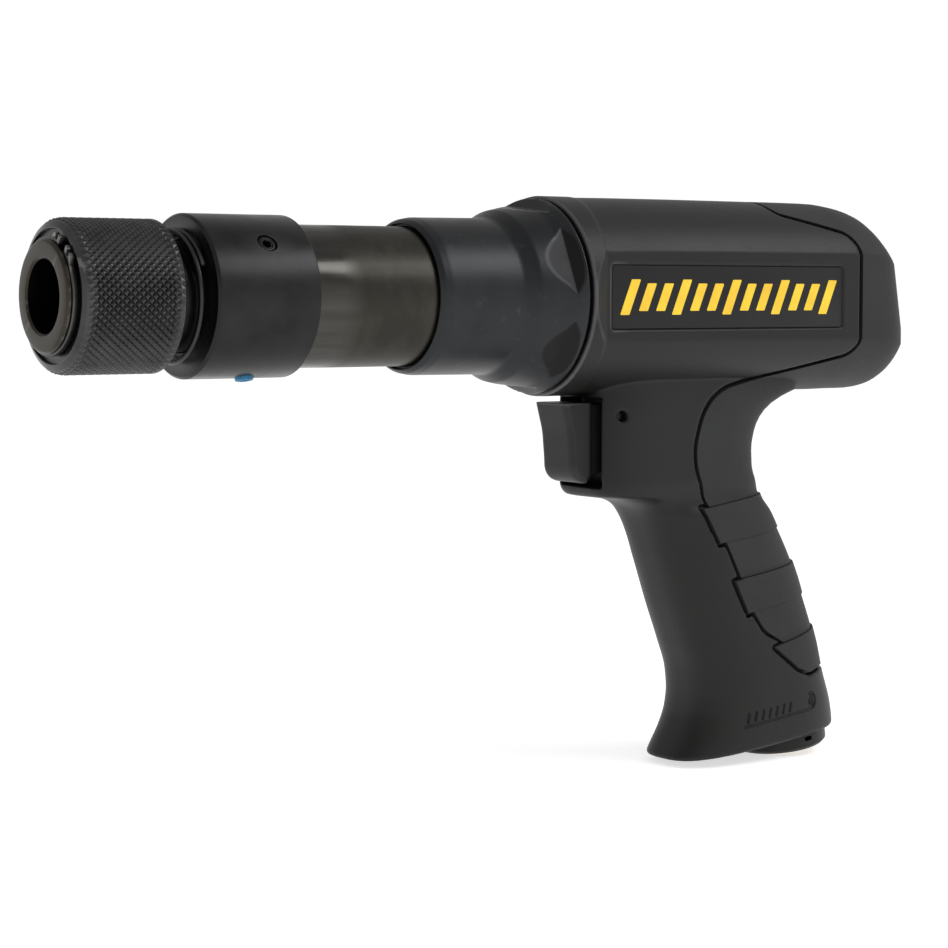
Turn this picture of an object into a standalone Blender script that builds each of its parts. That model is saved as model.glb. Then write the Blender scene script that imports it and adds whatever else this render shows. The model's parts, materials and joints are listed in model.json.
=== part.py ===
"""Pneumatic air hammer: one solid per piece, metres, +Z up, nose towards -X.

Every length below is in millimetres. A station is a distance from the nose face towards the
rear, along the barrel axis, and a height is measured up from that axis. The origin of the
object is at the middle of its length, below the barrel axis, at its lowest level.
"""

import math

import bmesh
import bpy
import numpy as np
from mathutils import Matrix, Vector

# Overall
LENGTH = 281.0
AXIS_HEIGHT = 140.29

# Quick-change retainer at the nose
NOSE_R = 14.5
MOUTH_R = 10.0
SHANK_R = 8.2
NOSE_END = 63.7
THREAD_R = 13.85
CLIP_FROM, CLIP_TO = 1.3, 2.5
CLIP_R = 16.2
CLIP_EAR_R = 17.9
CLIP_GROOVE_R = 13.5
CLIP_GAP_ANGLE = 55.0
CLIP_GAP = 14.0
SLEEVE_FRONT, SLEEVE_REAR = 2.6, 30.7
SLEEVE_R = 19.95
SLEEVE_BORE_R = 14.8
BALL_STATION = 20.0
BALL_R = 3.5
BALL_CENTRE_R = 10.9
BALL_ANGLES = (90.0, 210.0, 330.0)

# Clamping collar with three set screws
COLLAR_FRONT, COLLAR_REAR = 38.7, 69.0
COLLAR_R = 21.6
SCREW_STATION = 55.75
SCREW_R = 2.45
SCREW_HOLE_R = 2.75
SCREW_ANGLES = (40.0, 160.0, -80.0)

# Barrel and the parts in it
BARREL_R = 19.2
BARREL_FRONT, BARREL_REAR = 46.0, 206.0
SPIGOT_R = 17.9
BORE_R = 10.0
PISTON_R = 9.92
PISTON_FROM, PISTON_TO = 130.0, 170.0
VALVE_R = 15.3
VALVE_POCKET_R = 15.5
VALVE_FROM = 186.0

# Front nut with six wrench flats
NUT_FRONT, NUT_REAR = 107.0, 152.4
NUT_TUBE_R = 21.75
NUT_RIM_R = 28.2
NUT_THREAD_R = 23.7
NUT_THREAD_END = 176.0
FLAT_DISTANCE = 24.8
FLAT_WALL = 148.7
FLAT_FIRST_ANGLE = 23.5

# Housing
BODY_R = 28.6
SIDE_FLAT = 25.6
BODY_BORE_R = 20.3
BODY_BORE_END = 262.0
BADGE_FROM, BADGE_TO = 161.5, 249.5
BADGE_LOW, BADGE_HIGH = -9.4, 9.0
BADGE_DEPTH = 0.9

# Handle
POCKET_HALF = 9.7
POCKET_BACK = 178.4
POCKET_LOW, POCKET_HIGH = -55.2, -29.2
INLET_TILT = 8.0
FOOT_TILT = 6.0
SKIN = 2.2

# Trigger and throttle valve
PIVOT = (174.9, -34.4)
PIN_R = 1.45
TRIGGER_HALF = 7.7
THROTTLE_HEIGHT = -44.0
THROTTLE_CHAMBER_R = 7.3
THROTTLE_CHAMBER_END = 205.4
THROTTLE_SHIFT = 1.4

# Air inlet at the foot of the grip
INLET_FOOT = (248.2, -138.6)
INLET_R = 5.75
BUSHING_R = 8.4
DEFLECTOR_R = 14.6

FINE, MID, COARSE = 32, 20, 16


# ---------------------------------------------------------------- materials

def material(name, rgb, metallic, roughness):
    mat = bpy.data.materials.new(name)
    mat.use_nodes = True
    shader = mat.node_tree.nodes["Principled BSDF"]
    shader.inputs["Base Color"].default_value = (*rgb, 1.0)
    shader.inputs["Metallic"].default_value = metallic
    shader.inputs["Roughness"].default_value = roughness
    mat.diffuse_color = (*rgb, 1.0)
    return mat


# ---------------------------------------------------------------- placing

def place(station, side, height):
    """A point from its station, its offset away from the handle's left side, and its height."""
    return Vector((station - LENGTH / 2, side, height + AXIS_HEIGHT)) / 1000


def around(station, radius, angle):
    """A point on a circle about the barrel axis; 0 degrees is the -Y side and 90 the top."""
    turn = math.radians(angle)
    return place(station, -radius * math.cos(turn), radius * math.sin(turn))


def finish(name, mesh, mat, smooth=35.0):
    mesh.materials.clear()
    mesh.materials.append(mat)
    for face in mesh.polygons:
        face.use_smooth = True
    mesh.set_sharp_from_angle(angle=math.radians(smooth))
    obj = bpy.data.objects.new(name, mesh)
    bpy.context.scene.collection.objects.link(obj)
    return obj


def mesh_from(name, points, faces):
    mesh = bpy.data.meshes.new(name)
    mesh.from_pydata([tuple(p) for p in points], [], faces)
    work = bmesh.new()
    work.from_mesh(mesh)
    bmesh.ops.recalc_face_normals(work, faces=work.faces)
    work.to_mesh(mesh)
    work.free()
    return mesh


# ---------------------------------------------------------------- solids

def turned_mesh(name, profile, count, to_point):
    """A solid of revolution from a closed profile of (along, radius) pairs."""
    points, rows = [], []
    for along, radius in profile:
        first = len(points)
        if radius < 1e-6:
            points.append(to_point(along, 0.0, 0.0))
            rows.append([first] * count)
            continue
        for i in range(count):
            points.append(to_point(along, radius, 360.0 * i / count))
        rows.append(list(range(first, first + count)))
    faces = []
    for here, there in zip(rows, rows[1:] + rows[:1]):
        for i in range(count):
            j = (i + 1) % count
            corners = [here[i], here[j], there[j], there[i]]
            corners = list(dict.fromkeys(corners))
            if len(corners) > 2:
                faces.append(corners)
    return mesh_from(name, points, faces)


def turned(name, profile, mat, count=MID):
    """A part turned about the barrel axis."""
    return finish(name, turned_mesh(name, profile, count, around), mat)


def turned_on(name, profile, mat, base, direction, count=COARSE):
    """A part turned about any axis: base is the zero point and direction the way along."""
    turn = direction.normalized().to_track_quat("Z", "Y").to_matrix()

    def to_point(along, radius, angle):
        phase = math.radians(angle)
        local = Vector((radius * math.cos(phase), radius * math.sin(phase), along))
        return base + turn @ local / 1000

    return finish(name, turned_mesh(name, profile, count, to_point), mat)


def rod(name, start, end, radius, mat, count=12):
    """A plain cylinder between two points, radius in millimetres."""
    span = (end - start).length * 1000
    profile = [(0, 0), (0, radius), (span, radius), (span, 0)]
    return turned_on(name, profile, mat, start, end - start, count)


def ring_profile(centre, radius, thick, sides=6):
    """The round section of an O-ring, as a turned profile."""
    turns = [2 * math.pi * i / sides for i in range(sides)]
    return [(centre + thick * math.cos(t), radius + thick * math.sin(t)) for t in turns]


def loft(name, rings, mat, smooth=35.0, fan=False):
    """A solid through rings of points, each with the same count, closed at both ends.

    With fan, each end closes onto its own centre point, which suits a ring that isn't flat.
    """
    count = len(rings[0])
    points = [p for ring in rings for p in ring]
    faces = []
    for k in range(len(rings) - 1):
        for i in range(count):
            j = (i + 1) % count
            a, b = k * count, (k + 1) * count
            faces.append([a + i, a + j, b + j, b + i])
    last = len(points) - count
    if not fan:
        faces += [list(range(count)), list(range(last, len(points)))]
        return finish(name, mesh_from(name, points, faces), mat, smooth)
    for first, ring in ((0, rings[0]), (last, rings[-1])):
        centre = len(points)
        points.append(sum(ring, Vector()) / count)
        faces += [[first + i, first + (i + 1) % count, centre] for i in range(count)]
    return finish(name, mesh_from(name, points, faces), mat, smooth)


def slab(name, outline, half, mat, bevel=0.0):
    """A side outline of (station, height) pairs, thickened to both sides of the middle."""
    if bevel:
        inner = offset(outline, -bevel)
        layers = [(inner, -half), (outline, bevel - half), (outline, half - bevel), (inner, half)]
    else:
        layers = [(outline, -half), (outline, half)]
    rings = [[place(s, side, h) for s, h in line] for line, side in layers]
    return loft(name, rings, mat)


def box(name, low, high, mat):
    outline = [(low[0], low[2]), (high[0], low[2]), (high[0], high[2]), (low[0], high[2])]
    rings = [[place(s, side, h) for s, h in outline] for side in (low[1], high[1])]
    return loft(name, rings, mat)


def coil_station(turn, turns, length, wire):
    """Distance along a spring at a turn; its first and last turns lie close together."""
    closed = 2 * wire + 0.15
    rest = turns - turn
    if turn < 1:
        return wire + closed * turn
    if rest < 1:
        return length - wire - closed * rest
    spread = length - 2 * wire - 2 * closed
    return wire + closed + spread * (turn - 1) / (turns - 2)


def coil(name, base, direction, length, radius, wire, turns, mat, steps=12, sides=4):
    """A round-wire compression spring of the given mean radius, with closed ends."""
    frame = direction.normalized().to_track_quat("Z", "Y").to_matrix()
    total = int(turns * steps)
    rings = []
    for k in range(total + 1):
        phase = 2 * math.pi * turns * k / total
        along = coil_station(turns * k / total, turns, length, wire)
        out = Vector((math.cos(phase), math.sin(phase), 0))
        centre = out * radius + Vector((0, 0, along))
        ring = []
        for i in range(sides):
            t = 2 * math.pi * i / sides
            point = centre + wire * (out * math.cos(t) + Vector((0, 0, math.sin(t))))
            ring.append(base + frame @ point / 1000)
        rings.append(ring)
    return loft(name, rings, mat, 80.0)


# ---------------------------------------------------------------- combining

def combine(obj, other, operation):
    """Applies one Boolean to obj and removes the other object."""
    step = obj.modifiers.new("combine", "BOOLEAN")
    step.operation = operation
    step.solver = "EXACT"
    step.object = other
    graph = bpy.context.evaluated_depsgraph_get()
    mesh = bpy.data.meshes.new_from_object(obj.evaluated_get(graph))
    obj.modifiers.clear()
    obj.data = mesh
    bpy.data.objects.remove(other)
    return obj


def cut(obj, *cutters):
    for cutter in cutters:
        combine(obj, cutter, "DIFFERENCE")
    return obj


def join(obj, *others):
    for other in others:
        combine(obj, other, "UNION")
    return obj


def settle(obj, mat, smooth=35.0):
    """Cleans a combined mesh: merges coincident points, melts flat edges, sets the shading."""
    work = bmesh.new()
    work.from_mesh(obj.data)
    bmesh.ops.remove_doubles(work, verts=work.verts, dist=2e-6)
    bmesh.ops.dissolve_degenerate(work, edges=work.edges, dist=2e-6)
    work.to_mesh(obj.data)
    work.free()
    obj.data.materials.clear()
    obj.data.materials.append(mat)
    for face in obj.data.polygons:
        face.use_smooth = True
        face.material_index = 0
    obj.data.set_sharp_from_angle(angle=math.radians(smooth))
    return obj


# ---------------------------------------------------------------- outlines

def offset(outline, amount):
    """Moves each corner of a closed outline outwards by amount."""
    line = np.array(outline, float)
    area = np.sum(line[:, 0] * np.roll(line[:, 1], -1) - line[:, 1] * np.roll(line[:, 0], -1))
    ahead = np.roll(line, -1, 0) - line
    ahead /= np.linalg.norm(ahead, axis=1)[:, None]
    normal = np.stack([ahead[:, 1], -ahead[:, 0]], 1) * (1 if area > 0 else -1)
    corner = normal + np.roll(normal, 1, 0)
    corner /= np.maximum(0.5, np.sum(corner * corner, 1) / 2)[:, None]
    return [tuple(p) for p in line + corner * amount]


# Front and rear edges of the handle seen from the side, as (height, station)
HANDLE_FRONT = (
    (-18, 169.3), (-50, 169.4), (-56.0, 169.6), (-57.4, 170.2), (-58.2, 171.5), (-58.6, 175),
    (-59.1, 179.5), (-60.3, 184.6), (-62.9, 188.5), (-67, 191.3), (-79, 196.0), (-92, 200.6),
    (-104, 205.3), (-113, 208.4), (-118, 208.9), (-123, 208.0), (-128, 205.4), (-131, 203.2),
    (-134, 200.9), (-139.6, 199.4),
)
HANDLE_REAR = (
    (-18, 246), (-27.5, 246), (-29.2, 241.8), (-31.3, 236.6), (-35.6, 231.0), (-40, 228.5),
    (-45.5, 227.4), (-50, 227.7), (-55, 229.5), (-60, 233.0), (-67.7, 238.5), (-79.3, 245),
    (-92, 250.6), (-104.3, 255.3), (-117, 259.1), (-128, 262.6), (-139.6, 264.5),
)
HANDLE_HALF = ((-18, 15.2), (-56, 15.2), (-64, 16.2), (-80, 17.0), (-112, 17.0), (-139.6, 16.4))
HANDLE_SQUARE = ((-18, 5.0), (-55, 5.0), (-62, 3.4), (-75, 2.9), (-139.6, 2.9))
HANDLE_LEVELS = (
    -20, -27.5, -29.2, -31.3, -35.6, -40, -45.5, -51, -56, -57.4, -58.2, -58.6, -59.1, -60.3,
    -62.9, -67, -75, -84, -94, -104, -113, -118, -123, -128, -131, -133,
)


def along_curve(pairs, level):
    heights = [-p[0] for p in pairs]
    return float(np.interp(-level, heights, [p[1] for p in pairs]))


def handle_ring(level, tilt, inset, shrink=0.0, count=20):
    """One rounded section of the handle. Tilt leans it so that its rear is higher."""
    front = along_curve(HANDLE_FRONT, level) + inset + shrink
    rear = along_curve(HANDLE_REAR, level) - inset - shrink
    half = along_curve(HANDLE_HALF, level) - inset - shrink
    middle, reach = (front + rear) / 2, (rear - front) / 2
    power = 2 / along_curve(HANDLE_SQUARE, level)
    ring = []
    for i in range(count):
        t = 2 * math.pi * i / count
        c, s = math.cos(t), math.sin(t)
        station = middle + reach * math.copysign(abs(c) ** power, c)
        side = half * math.copysign(abs(s) ** power, s)
        ring.append(place(station, side, level + tilt * (station - middle)))
    return ring


def handle_solid(name, inset, mat):
    slope = math.tan(math.radians(FOOT_TILT))
    rings = []
    for level in HANDLE_LEVELS:
        lean = slope * min(1.0, max(0.0, (-level - 112) / 20))
        rings.append(handle_ring(level, lean, inset))
    if inset < 0.5:
        rings.append(handle_ring(-134.3, slope, 0.0, 0.4))
        rings.append(handle_ring(-135.5, slope, 0.0, 1.6))
    return loft(name, rings, mat)


# Housing sections from front to rear: station, radius, side flat, drop, lean of the rear face
BODY_SECTIONS = (
    (153.4, 27.9, 27.9, 0, 0), (154.1, 28.6, 28.6, 0, 0), (157.8, 28.6, 28.6, 0, 0),
    (159.6, 28.6, 25.6, 0, 0), (200, 28.6, 25.6, 0, 0), (238, 28.7, 25.6, 0, 0),
    (255, 28.6, 25.5, 0.1, 0.1), (264, 28.2, 25.2, 0.4, 0.35), (271, 27.6, 24.6, 1.0, 0.6),
    (275.6, 26.2, 23.0, 1.9, 0.8), (278.7, 23.4, 20.3, 2.9, 0.9), (280.5, 18.0, 15.2, 3.6, 1.0),
    (281.0, 10.0, 8.6, 4.0, 1.0),
)
REAR_LEAN = 0.19


def body_angles():
    """Angles round the body, with corners where the side flats begin and at each quarter."""
    crease = math.degrees(math.acos(SIDE_FLAT / BODY_R))
    quarter = [0, crease / 2] + [crease + (90 - crease) * k / 6 for k in range(6)]
    half = quarter + [90] + [180 - a for a in reversed(quarter)][:-1]
    return half + [180 + a for a in half]


def body_ring(section, inset):
    station, radius, flat, drop, lean = section
    station -= inset if station > 262 else 0.0
    radius, flat = radius - inset, flat - inset
    ring = []
    for angle in body_angles():
        t = math.radians(angle)
        side = max(-flat, min(flat, radius * math.cos(t)))
        height = radius * math.sin(t) - drop
        back = lean * REAR_LEAN * max(0.0, height + 10)
        ring.append(place(station - back, side, height))
    return ring


def body_solid(name, inset, mat):
    sections = [s for s in BODY_SECTIONS if not inset or s[0] > 160]
    return loft(name, [body_ring(section, inset) for section in sections], mat, fan=True)


# Edge of the rubber seen from the side, from the top of the housing down to the grip
RUBBER_EDGE = (
    (232.5, 34), (232.5, 27.6), (234.5, 25.2), (239, 23.3), (248.4, 21), (253.2, 18.6),
    (256.6, 14), (257.6, 9), (257.6, -10), (256.6, -14.6), (253.6, -18.0), (246, -19.9),
    (237.3, -21.5), (224.4, -24.4), (213.6, -26.5), (207.8, -29.4), (204, -34.6),
    (201.6, -41), (200.8, -47.7), (201.9, -53.6), (204.4, -59), (209.6, -71), (215, -82),
    (220.4, -93), (226.4, -99.5), (233, -106), (240, -111.4), (246.5, -113.2), (250, -110.6),
    (257, -108.5), (300, -104),
)


def rubber_region(name, grow, mat):
    outline = list(RUBBER_EDGE) + [(300, 34)]
    return slab(name, offset(outline, grow), 40, mat)


# ---------------------------------------------------------------- retainer

def nose_tube(mat):
    profile = [
        (0.6, MOUTH_R), (0, MOUTH_R + 0.6), (0, NOSE_R - 0.5), (0.5, NOSE_R),
        (CLIP_FROM - 0.1, NOSE_R), (CLIP_FROM - 0.1, CLIP_GROOVE_R), (CLIP_TO + 0.1, CLIP_GROOVE_R),
        (CLIP_TO + 0.1, NOSE_R), (44, NOSE_R), (44, THREAD_R), (NOSE_END, THREAD_R),
        (NOSE_END, SHANK_R), (13, SHANK_R), (11.5, MOUTH_R),
    ]
    tube = turned("nose_tube", profile, mat)
    for angle in BALL_ANGLES:
        start, end = around(BALL_STATION, 4, angle), around(BALL_STATION, 18, angle)
        cut(tube, rod("hole", start, end, BALL_R + 0.16, mat))
    return settle(tube, mat)


def knurled_sleeve(mat):
    profile = [
        (3.5, SLEEVE_BORE_R), (3.5, 16.9), (SLEEVE_FRONT, 17.2), (SLEEVE_FRONT + 0.5, 18.3),
        (4.2, 19.3), (5.8, SLEEVE_R), (SLEEVE_REAR - 0.7, SLEEVE_R), (SLEEVE_REAR, SLEEVE_R - 0.7),
        (SLEEVE_REAR, 18.3), (24.0, 18.3), (24.0, SLEEVE_BORE_R), (21.5, SLEEVE_BORE_R),
        (15.5, 17.0), (11.5, 17.0), (9.5, SLEEVE_BORE_R),
    ]
    return turned("knurled_sleeve", profile, mat, FINE)


def snap_ring(mat):
    """An open clip with a wider ear each side of its gap, and a plier hole in each ear."""
    first = CLIP_GAP_ANGLE + CLIP_GAP / 2
    last = first + 360 - CLIP_GAP
    angles = [first, first + 15, *np.linspace(first + 20, last - 20, 24), last - 15, last]
    rings = []
    for k, angle in enumerate(angles):
        outer = CLIP_EAR_R if min(k, len(angles) - 1 - k) < 2 else CLIP_R
        inner = CLIP_GROOVE_R + 0.2
        corners = ((CLIP_FROM, inner), (CLIP_TO, inner), (CLIP_TO, outer), (CLIP_FROM, outer))
        rings.append([around(s, r, angle) for s, r in corners])
    ring = loft("snap_ring", rings, mat)
    for angle in (first + 7, last - 7):
        start, end = around(CLIP_FROM - 1, 16.1, angle), around(CLIP_TO + 1, 16.1, angle)
        cut(ring, rod("hole", start, end, 0.85, mat, 10))
    return settle(ring, mat)


def locking_balls(mat):
    for number, angle in enumerate(BALL_ANGLES, 1):
        centre = around(BALL_STATION, BALL_CENTRE_R, angle)
        steps = 8
        turns = [math.pi * i / steps for i in range(steps + 1)]
        profile = [(-BALL_R * math.cos(t), BALL_R * math.sin(t)) for t in turns]
        turned_on(f"locking_ball_{number}", profile, mat, centre, Vector((1, 0, 0)), 12)


def collar(mat):
    profile = [
        (COLLAR_FRONT, 14.8), (COLLAR_FRONT, COLLAR_R - 0.9), (COLLAR_FRONT + 0.9, COLLAR_R),
        (COLLAR_REAR - 0.5, COLLAR_R), (COLLAR_REAR, COLLAR_R - 0.5), (COLLAR_REAR, 18.1),
        (44.3, 18.1), (44.3, 14.8),
    ]
    ring = turned("retainer_collar", profile, mat, FINE)
    for angle in SCREW_ANGLES:
        start, end = around(SCREW_STATION, 16, angle), around(SCREW_STATION, 24, angle)
        cut(ring, rod("hole", start, end, SCREW_HOLE_R, mat))
    return settle(ring, mat)


def set_screws(mat, blue):
    """Socket set screws; the lowest one stands out a little and shows its locking patch."""
    for number, angle in enumerate(SCREW_ANGLES, 1):
        out = 22.5 if number == 3 else 21.1
        base = around(SCREW_STATION, 0, angle)
        ahead = around(SCREW_STATION, 1, angle) - base
        profile = [
            (17.3, 0), (17.3, SCREW_R - 0.6), (17.9, SCREW_R), (out - 0.3, SCREW_R),
            (out, SCREW_R - 0.3), (out, 1.35), (out - 1.8, 1.35), (out - 2.3, 0),
        ]
        turned_on(f"set_screw_{number}", profile, blue if number == 3 else mat, base, ahead, 12)


# ---------------------------------------------------------------- barrel

def barrel(mat):
    profile = [
        (BARREL_FRONT, 14.0), (64, 14.0), (64, SHANK_R), (84, SHANK_R), (84, BORE_R),
        (VALVE_FROM, BORE_R), (VALVE_FROM, VALVE_POCKET_R), (BARREL_REAR, VALVE_POCKET_R),
        (BARREL_REAR, BARREL_R), (203.4, BARREL_R), (203.4, 18.1), (200.6, 18.1),
        (200.6, BARREL_R), (COLLAR_REAR + 0.3, BARREL_R), (COLLAR_REAR + 0.3, SPIGOT_R),
        (BARREL_FRONT, SPIGOT_R),
    ]
    tube = turned("cylinder_barrel", profile, mat, FINE)
    for angle in SCREW_ANGLES:
        start, end = around(SCREW_STATION, 16.9, angle), around(SCREW_STATION, 24, angle)
        cut(tube, rod("dimple", start, end, SCREW_HOLE_R, mat))
    for angle in (0, 180):
        start, end = around(178, 5, angle), around(178, 24, angle)
        cut(tube, rod("port", start, end, 2.5, mat))
    return settle(tube, mat)


def barrel_parts(steel, bright, rubber):
    turned("piston", [
        (PISTON_FROM, 0), (PISTON_FROM, 7.5), (PISTON_FROM + 1.5, PISTON_R),
        (PISTON_TO, PISTON_R), (PISTON_TO, 7.0), (PISTON_TO - 9, 7.0), (PISTON_TO - 12, 0),
    ], bright)
    turned("valve_seat_front", [
        (186.3, 5.5), (186.3, VALVE_R), (191.0, VALVE_R), (191.0, 13.2), (188.2, 13.2),
        (188.2, 5.5),
    ], steel)
    turned("valve_plate", [(188.5, 3.0), (188.5, 12.8), (189.7, 12.8), (189.7, 3.0)], bright)
    turned("valve_seat_rear", [
        (191.3, 4.5), (191.3, VALVE_R), (197.0, VALVE_R), (197.0, 8.0), (194.5, 4.5),
    ], steel)
    turned("backhead", [
        (197.3, 6.0), (197.3, VALVE_R), (206.3, VALVE_R), (206.3, 18.8), (212.0, 18.8),
        (212.0, 6.0),
    ], steel)
    turned("barrel_seal", ring_profile(202.0, 19.25, 0.85), rubber)


# ---------------------------------------------------------------- front nut

def front_nut(mat):
    profile = [
        (NUT_FRONT, 19.9), (NUT_FRONT, 20.4), (NUT_FRONT + 1.2, 21.3), (110.6, NUT_TUBE_R),
        (134.2, 21.95), (136.2, 22.8), (138.2, 24.3), (140.2, 25.0), (146.5, 26.0), (150.6, 27.7),
        (NUT_REAR - 0.8, NUT_RIM_R), (NUT_REAR, NUT_RIM_R - 0.7), (NUT_REAR, NUT_THREAD_R),
        (NUT_THREAD_END, NUT_THREAD_R), (NUT_THREAD_END, 22.2), (140, 22.2), (140, 19.6),
        (111.3, 19.6), (111.3, 21.0), (108.2, 21.0), (108.2, 19.9),
    ]
    nut = turned("front_nut", profile, mat, FINE)
    for k in range(6):
        cut(nut, flat_cutter(FLAT_FIRST_ANGLE + 60 * k, mat))
    return settle(nut, mat)


def flat_cutter(angle, mat):
    """A block that leaves one wrench flat, with a 45 degree wall at its rear end."""
    rings = []
    for station in (136.0, FLAT_WALL):
        ring = []
        for out, across in ((0, -15), (0, 15), (8, 15), (8, -15)):
            turn = math.radians(angle)
            radius = FLAT_DISTANCE + out
            side = -radius * math.cos(turn) + across * math.sin(turn)
            height = radius * math.sin(turn) + across * math.cos(turn)
            lean = out if station == FLAT_WALL else 0
            ring.append(place(station + lean, side, height))
        rings.append(ring)
    return loft("flat", rings, mat)


def nut_parts(bronze, rubber):
    turned("wiper_seal", [
        (108.5, 19.35), (108.5, 20.8), (111.0, 20.8), (111.0, 19.35), (109.75, 19.27),
    ], rubber, FINE)
    turned("guide_bush", [(140.3, 19.28), (140.3, 22.0), (175.7, 22.0), (175.7, 19.28)],
           bronze, FINE)


# ---------------------------------------------------------------- housing

def housing_bore(mat):
    return turned("bore", [
        (150, 0), (150, 24.0), (178, 24.0), (178, BODY_BORE_R), (BODY_BORE_END, BODY_BORE_R),
        (BODY_BORE_END, 0),
    ], mat, FINE)


def inlet_frame():
    """Foot point of the inlet axis, and the way into the grip along it."""
    tilt = math.radians(INLET_TILT)
    return place(INLET_FOOT[0], 0, INLET_FOOT[1]), Vector((-math.sin(tilt), 0, math.cos(tilt)))


def handle_passages(mat):
    """Cutters for the throttle chamber, the air feed, the exhaust ducts and the foot."""
    foot, up = inlet_frame()
    chamber = rod("chamber", place(170, 0, THROTTLE_HEIGHT),
                  place(THROTTLE_CHAMBER_END, 0, THROTTLE_HEIGHT), THROTTLE_CHAMBER_R, mat, 20)
    riser = rod("riser", place(182.9, 0, -42), place(182.9, 0, -17), 3.0, mat)
    feed = rod("feed", place(242.6, 0, -113), place(199, 0, -45), 5.6, mat)
    well = turned_on("well", [(-6, 0), (-6, 8.6), (32, 8.6), (32, 0)], mat, foot, up)
    annulus = turned_on("annulus", [(-6, 9.9), (-6, 13.2), (12, 13.2), (12, 9.9)], mat, foot, up)
    seat_r = DEFLECTOR_R + 0.3
    seat = turned_on("seat", [(-6, 0), (-6, seat_r), (6.4, seat_r), (6.4, 0)], mat, foot, up, MID)
    yield from (chamber, riser, feed, well, annulus, seat)
    for side in (-11.2, 11.2):
        yield rod("duct", place(240.4, side, -130), place(201, side, -14), 2.3, mat, 12)


def badge_recess(side, mat):
    low = min(side * (SIDE_FLAT - BADGE_DEPTH), side * 30)
    high = max(side * (SIDE_FLAT - BADGE_DEPTH), side * 30)
    return box("recess", (BADGE_FROM, low, BADGE_LOW), (BADGE_TO, high, BADGE_HIGH), mat)


def badge(name, side, mat):
    gap = 0.3
    near = side * (SIDE_FLAT - BADGE_DEPTH + 0.02)
    far = side * (SIDE_FLAT - 0.45)
    low = (BADGE_FROM + gap, min(near, far), BADGE_LOW + gap)
    high = (BADGE_TO - gap, max(near, far), BADGE_HIGH - gap)
    return box(name, low, high, mat)


def outer_shape(name, inset, mat):
    return join(body_solid(name, inset, mat), handle_solid("handle", inset, mat))


def housing(mat):
    shape = outer_shape("handle_housing", 0, mat)
    cut(shape, rubber_region("region", 0.15, mat))
    join(shape, outer_shape("core", SKIN, mat))
    cut(shape, housing_bore(mat))
    pocket_low = (140, -POCKET_HALF, POCKET_LOW)
    pocket_high = (POCKET_BACK, POCKET_HALF, POCKET_HIGH)
    cut(shape, box("pocket", pocket_low, pocket_high, mat))
    cut(shape, *handle_passages(mat))
    cut(shape, rod("pin_hole", place(PIVOT[0], -20, PIVOT[1]), place(PIVOT[0], 20, PIVOT[1]),
                   PIN_R + 0.1, mat))
    cut(shape, badge_recess(-1, mat), badge_recess(1, mat))
    return settle(shape, mat)


def rear_grip(mat):
    skin = outer_shape("rear_grip", 0, mat)
    combine(skin, rubber_region("region", 0, mat), "INTERSECT")
    cut(skin, outer_shape("core", SKIN - 0.15, mat))
    return settle(skin, mat)


def damper(steel, rubber):
    coil("damper_spring", place(212.3, 0, 0), Vector((1, 0, 0)), 25.4, 13.5, 1.6, 4.5, steel)
    turned("spring_seat", [(238, 7), (238, 20.0), (244, 20.0), (244, 7)], steel)
    turned("damper_pad", [(244.3, 8), (244.3, 20.0), (261.7, 20.0), (261.7, 8)], rubber)


# ---------------------------------------------------------------- trigger

TRIGGER_BLADE = (
    (158.6, -30.5), (159.9, -35.0), (160.9, -39.0), (161.4, -43.0), (161.6, -47.0),
    (161.8, -49.2), (162.6, -51.3), (164.4, -53.0), (166.8, -53.8), (168.6, -53.5),
    (169.3, -52.3), (169.3, -30.5),
)
# The web behind the blade carries the pin and pushes the throttle stem
TRIGGER_WEB = (
    (165, -31), (165, -51), (171.6, -51), (172.5, -50.0), (172.5, -39.4), (174.2, -38.0),
    (176.9, -37.0), (178.0, -34.4), (176.9, -31.8), (174.9, -31),
)
WEB_HALF = 6.2


def trigger(mat):
    lever = slab("trigger", TRIGGER_BLADE, TRIGGER_HALF, mat, 1.3)
    join(lever, slab("web", TRIGGER_WEB, WEB_HALF, mat, 0.6))
    start = place(PIVOT[0], -12, PIVOT[1])
    end = place(PIVOT[0], 12, PIVOT[1])
    cut(lever, rod("hole", start, end, PIN_R + 0.12, mat))
    settle(lever, mat)
    set_origin(lever, place(PIVOT[0], 0, PIVOT[1]))
    return lever


def set_origin(obj, point):
    obj.data.transform(Matrix.Translation(-point))
    obj.location = point


def throttle(steel, brass, rubber):
    along = Vector((1, 0, 0))
    zero = place(THROTTLE_SHIFT, 0, THROTTLE_HEIGHT)
    rod("trigger_pin", place(PIVOT[0], -13.4, PIVOT[1]), place(PIVOT[0], 13.4, PIVOT[1]),
        PIN_R, steel)
    bush = turned_on("throttle_bush", [
        (177.3, 2.55), (177.3, 7.0), (178.6, 7.0), (178.6, 5.4), (183, 5.4), (183, 7.0),
        (184, 7.0), (184, 2.55),
    ], brass, zero, along)
    cut(bush, rod("port", place(182.2, 0, -52), place(182.2, 0, -36), 1.3, brass))
    settle(bush, brass)
    turned_on("throttle_stem", [
        (171.5, 0), (171.5, 1.9), (171.9, 2.3), (186.3, 2.3), (186.3, 5.2), (188.6, 5.2),
        (188.6, 2.6), (190.5, 2.6), (190.5, 0),
    ], steel, zero, along)
    turned_on("throttle_seal", ring_profile(185.15, 3.55, 0.8), rubber, zero, along)
    coil("throttle_spring", place(190.3, 0, THROTTLE_HEIGHT), along, 14.8, 4.0, 0.5, 6, steel, 10, 4)


# ---------------------------------------------------------------- inlet

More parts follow.
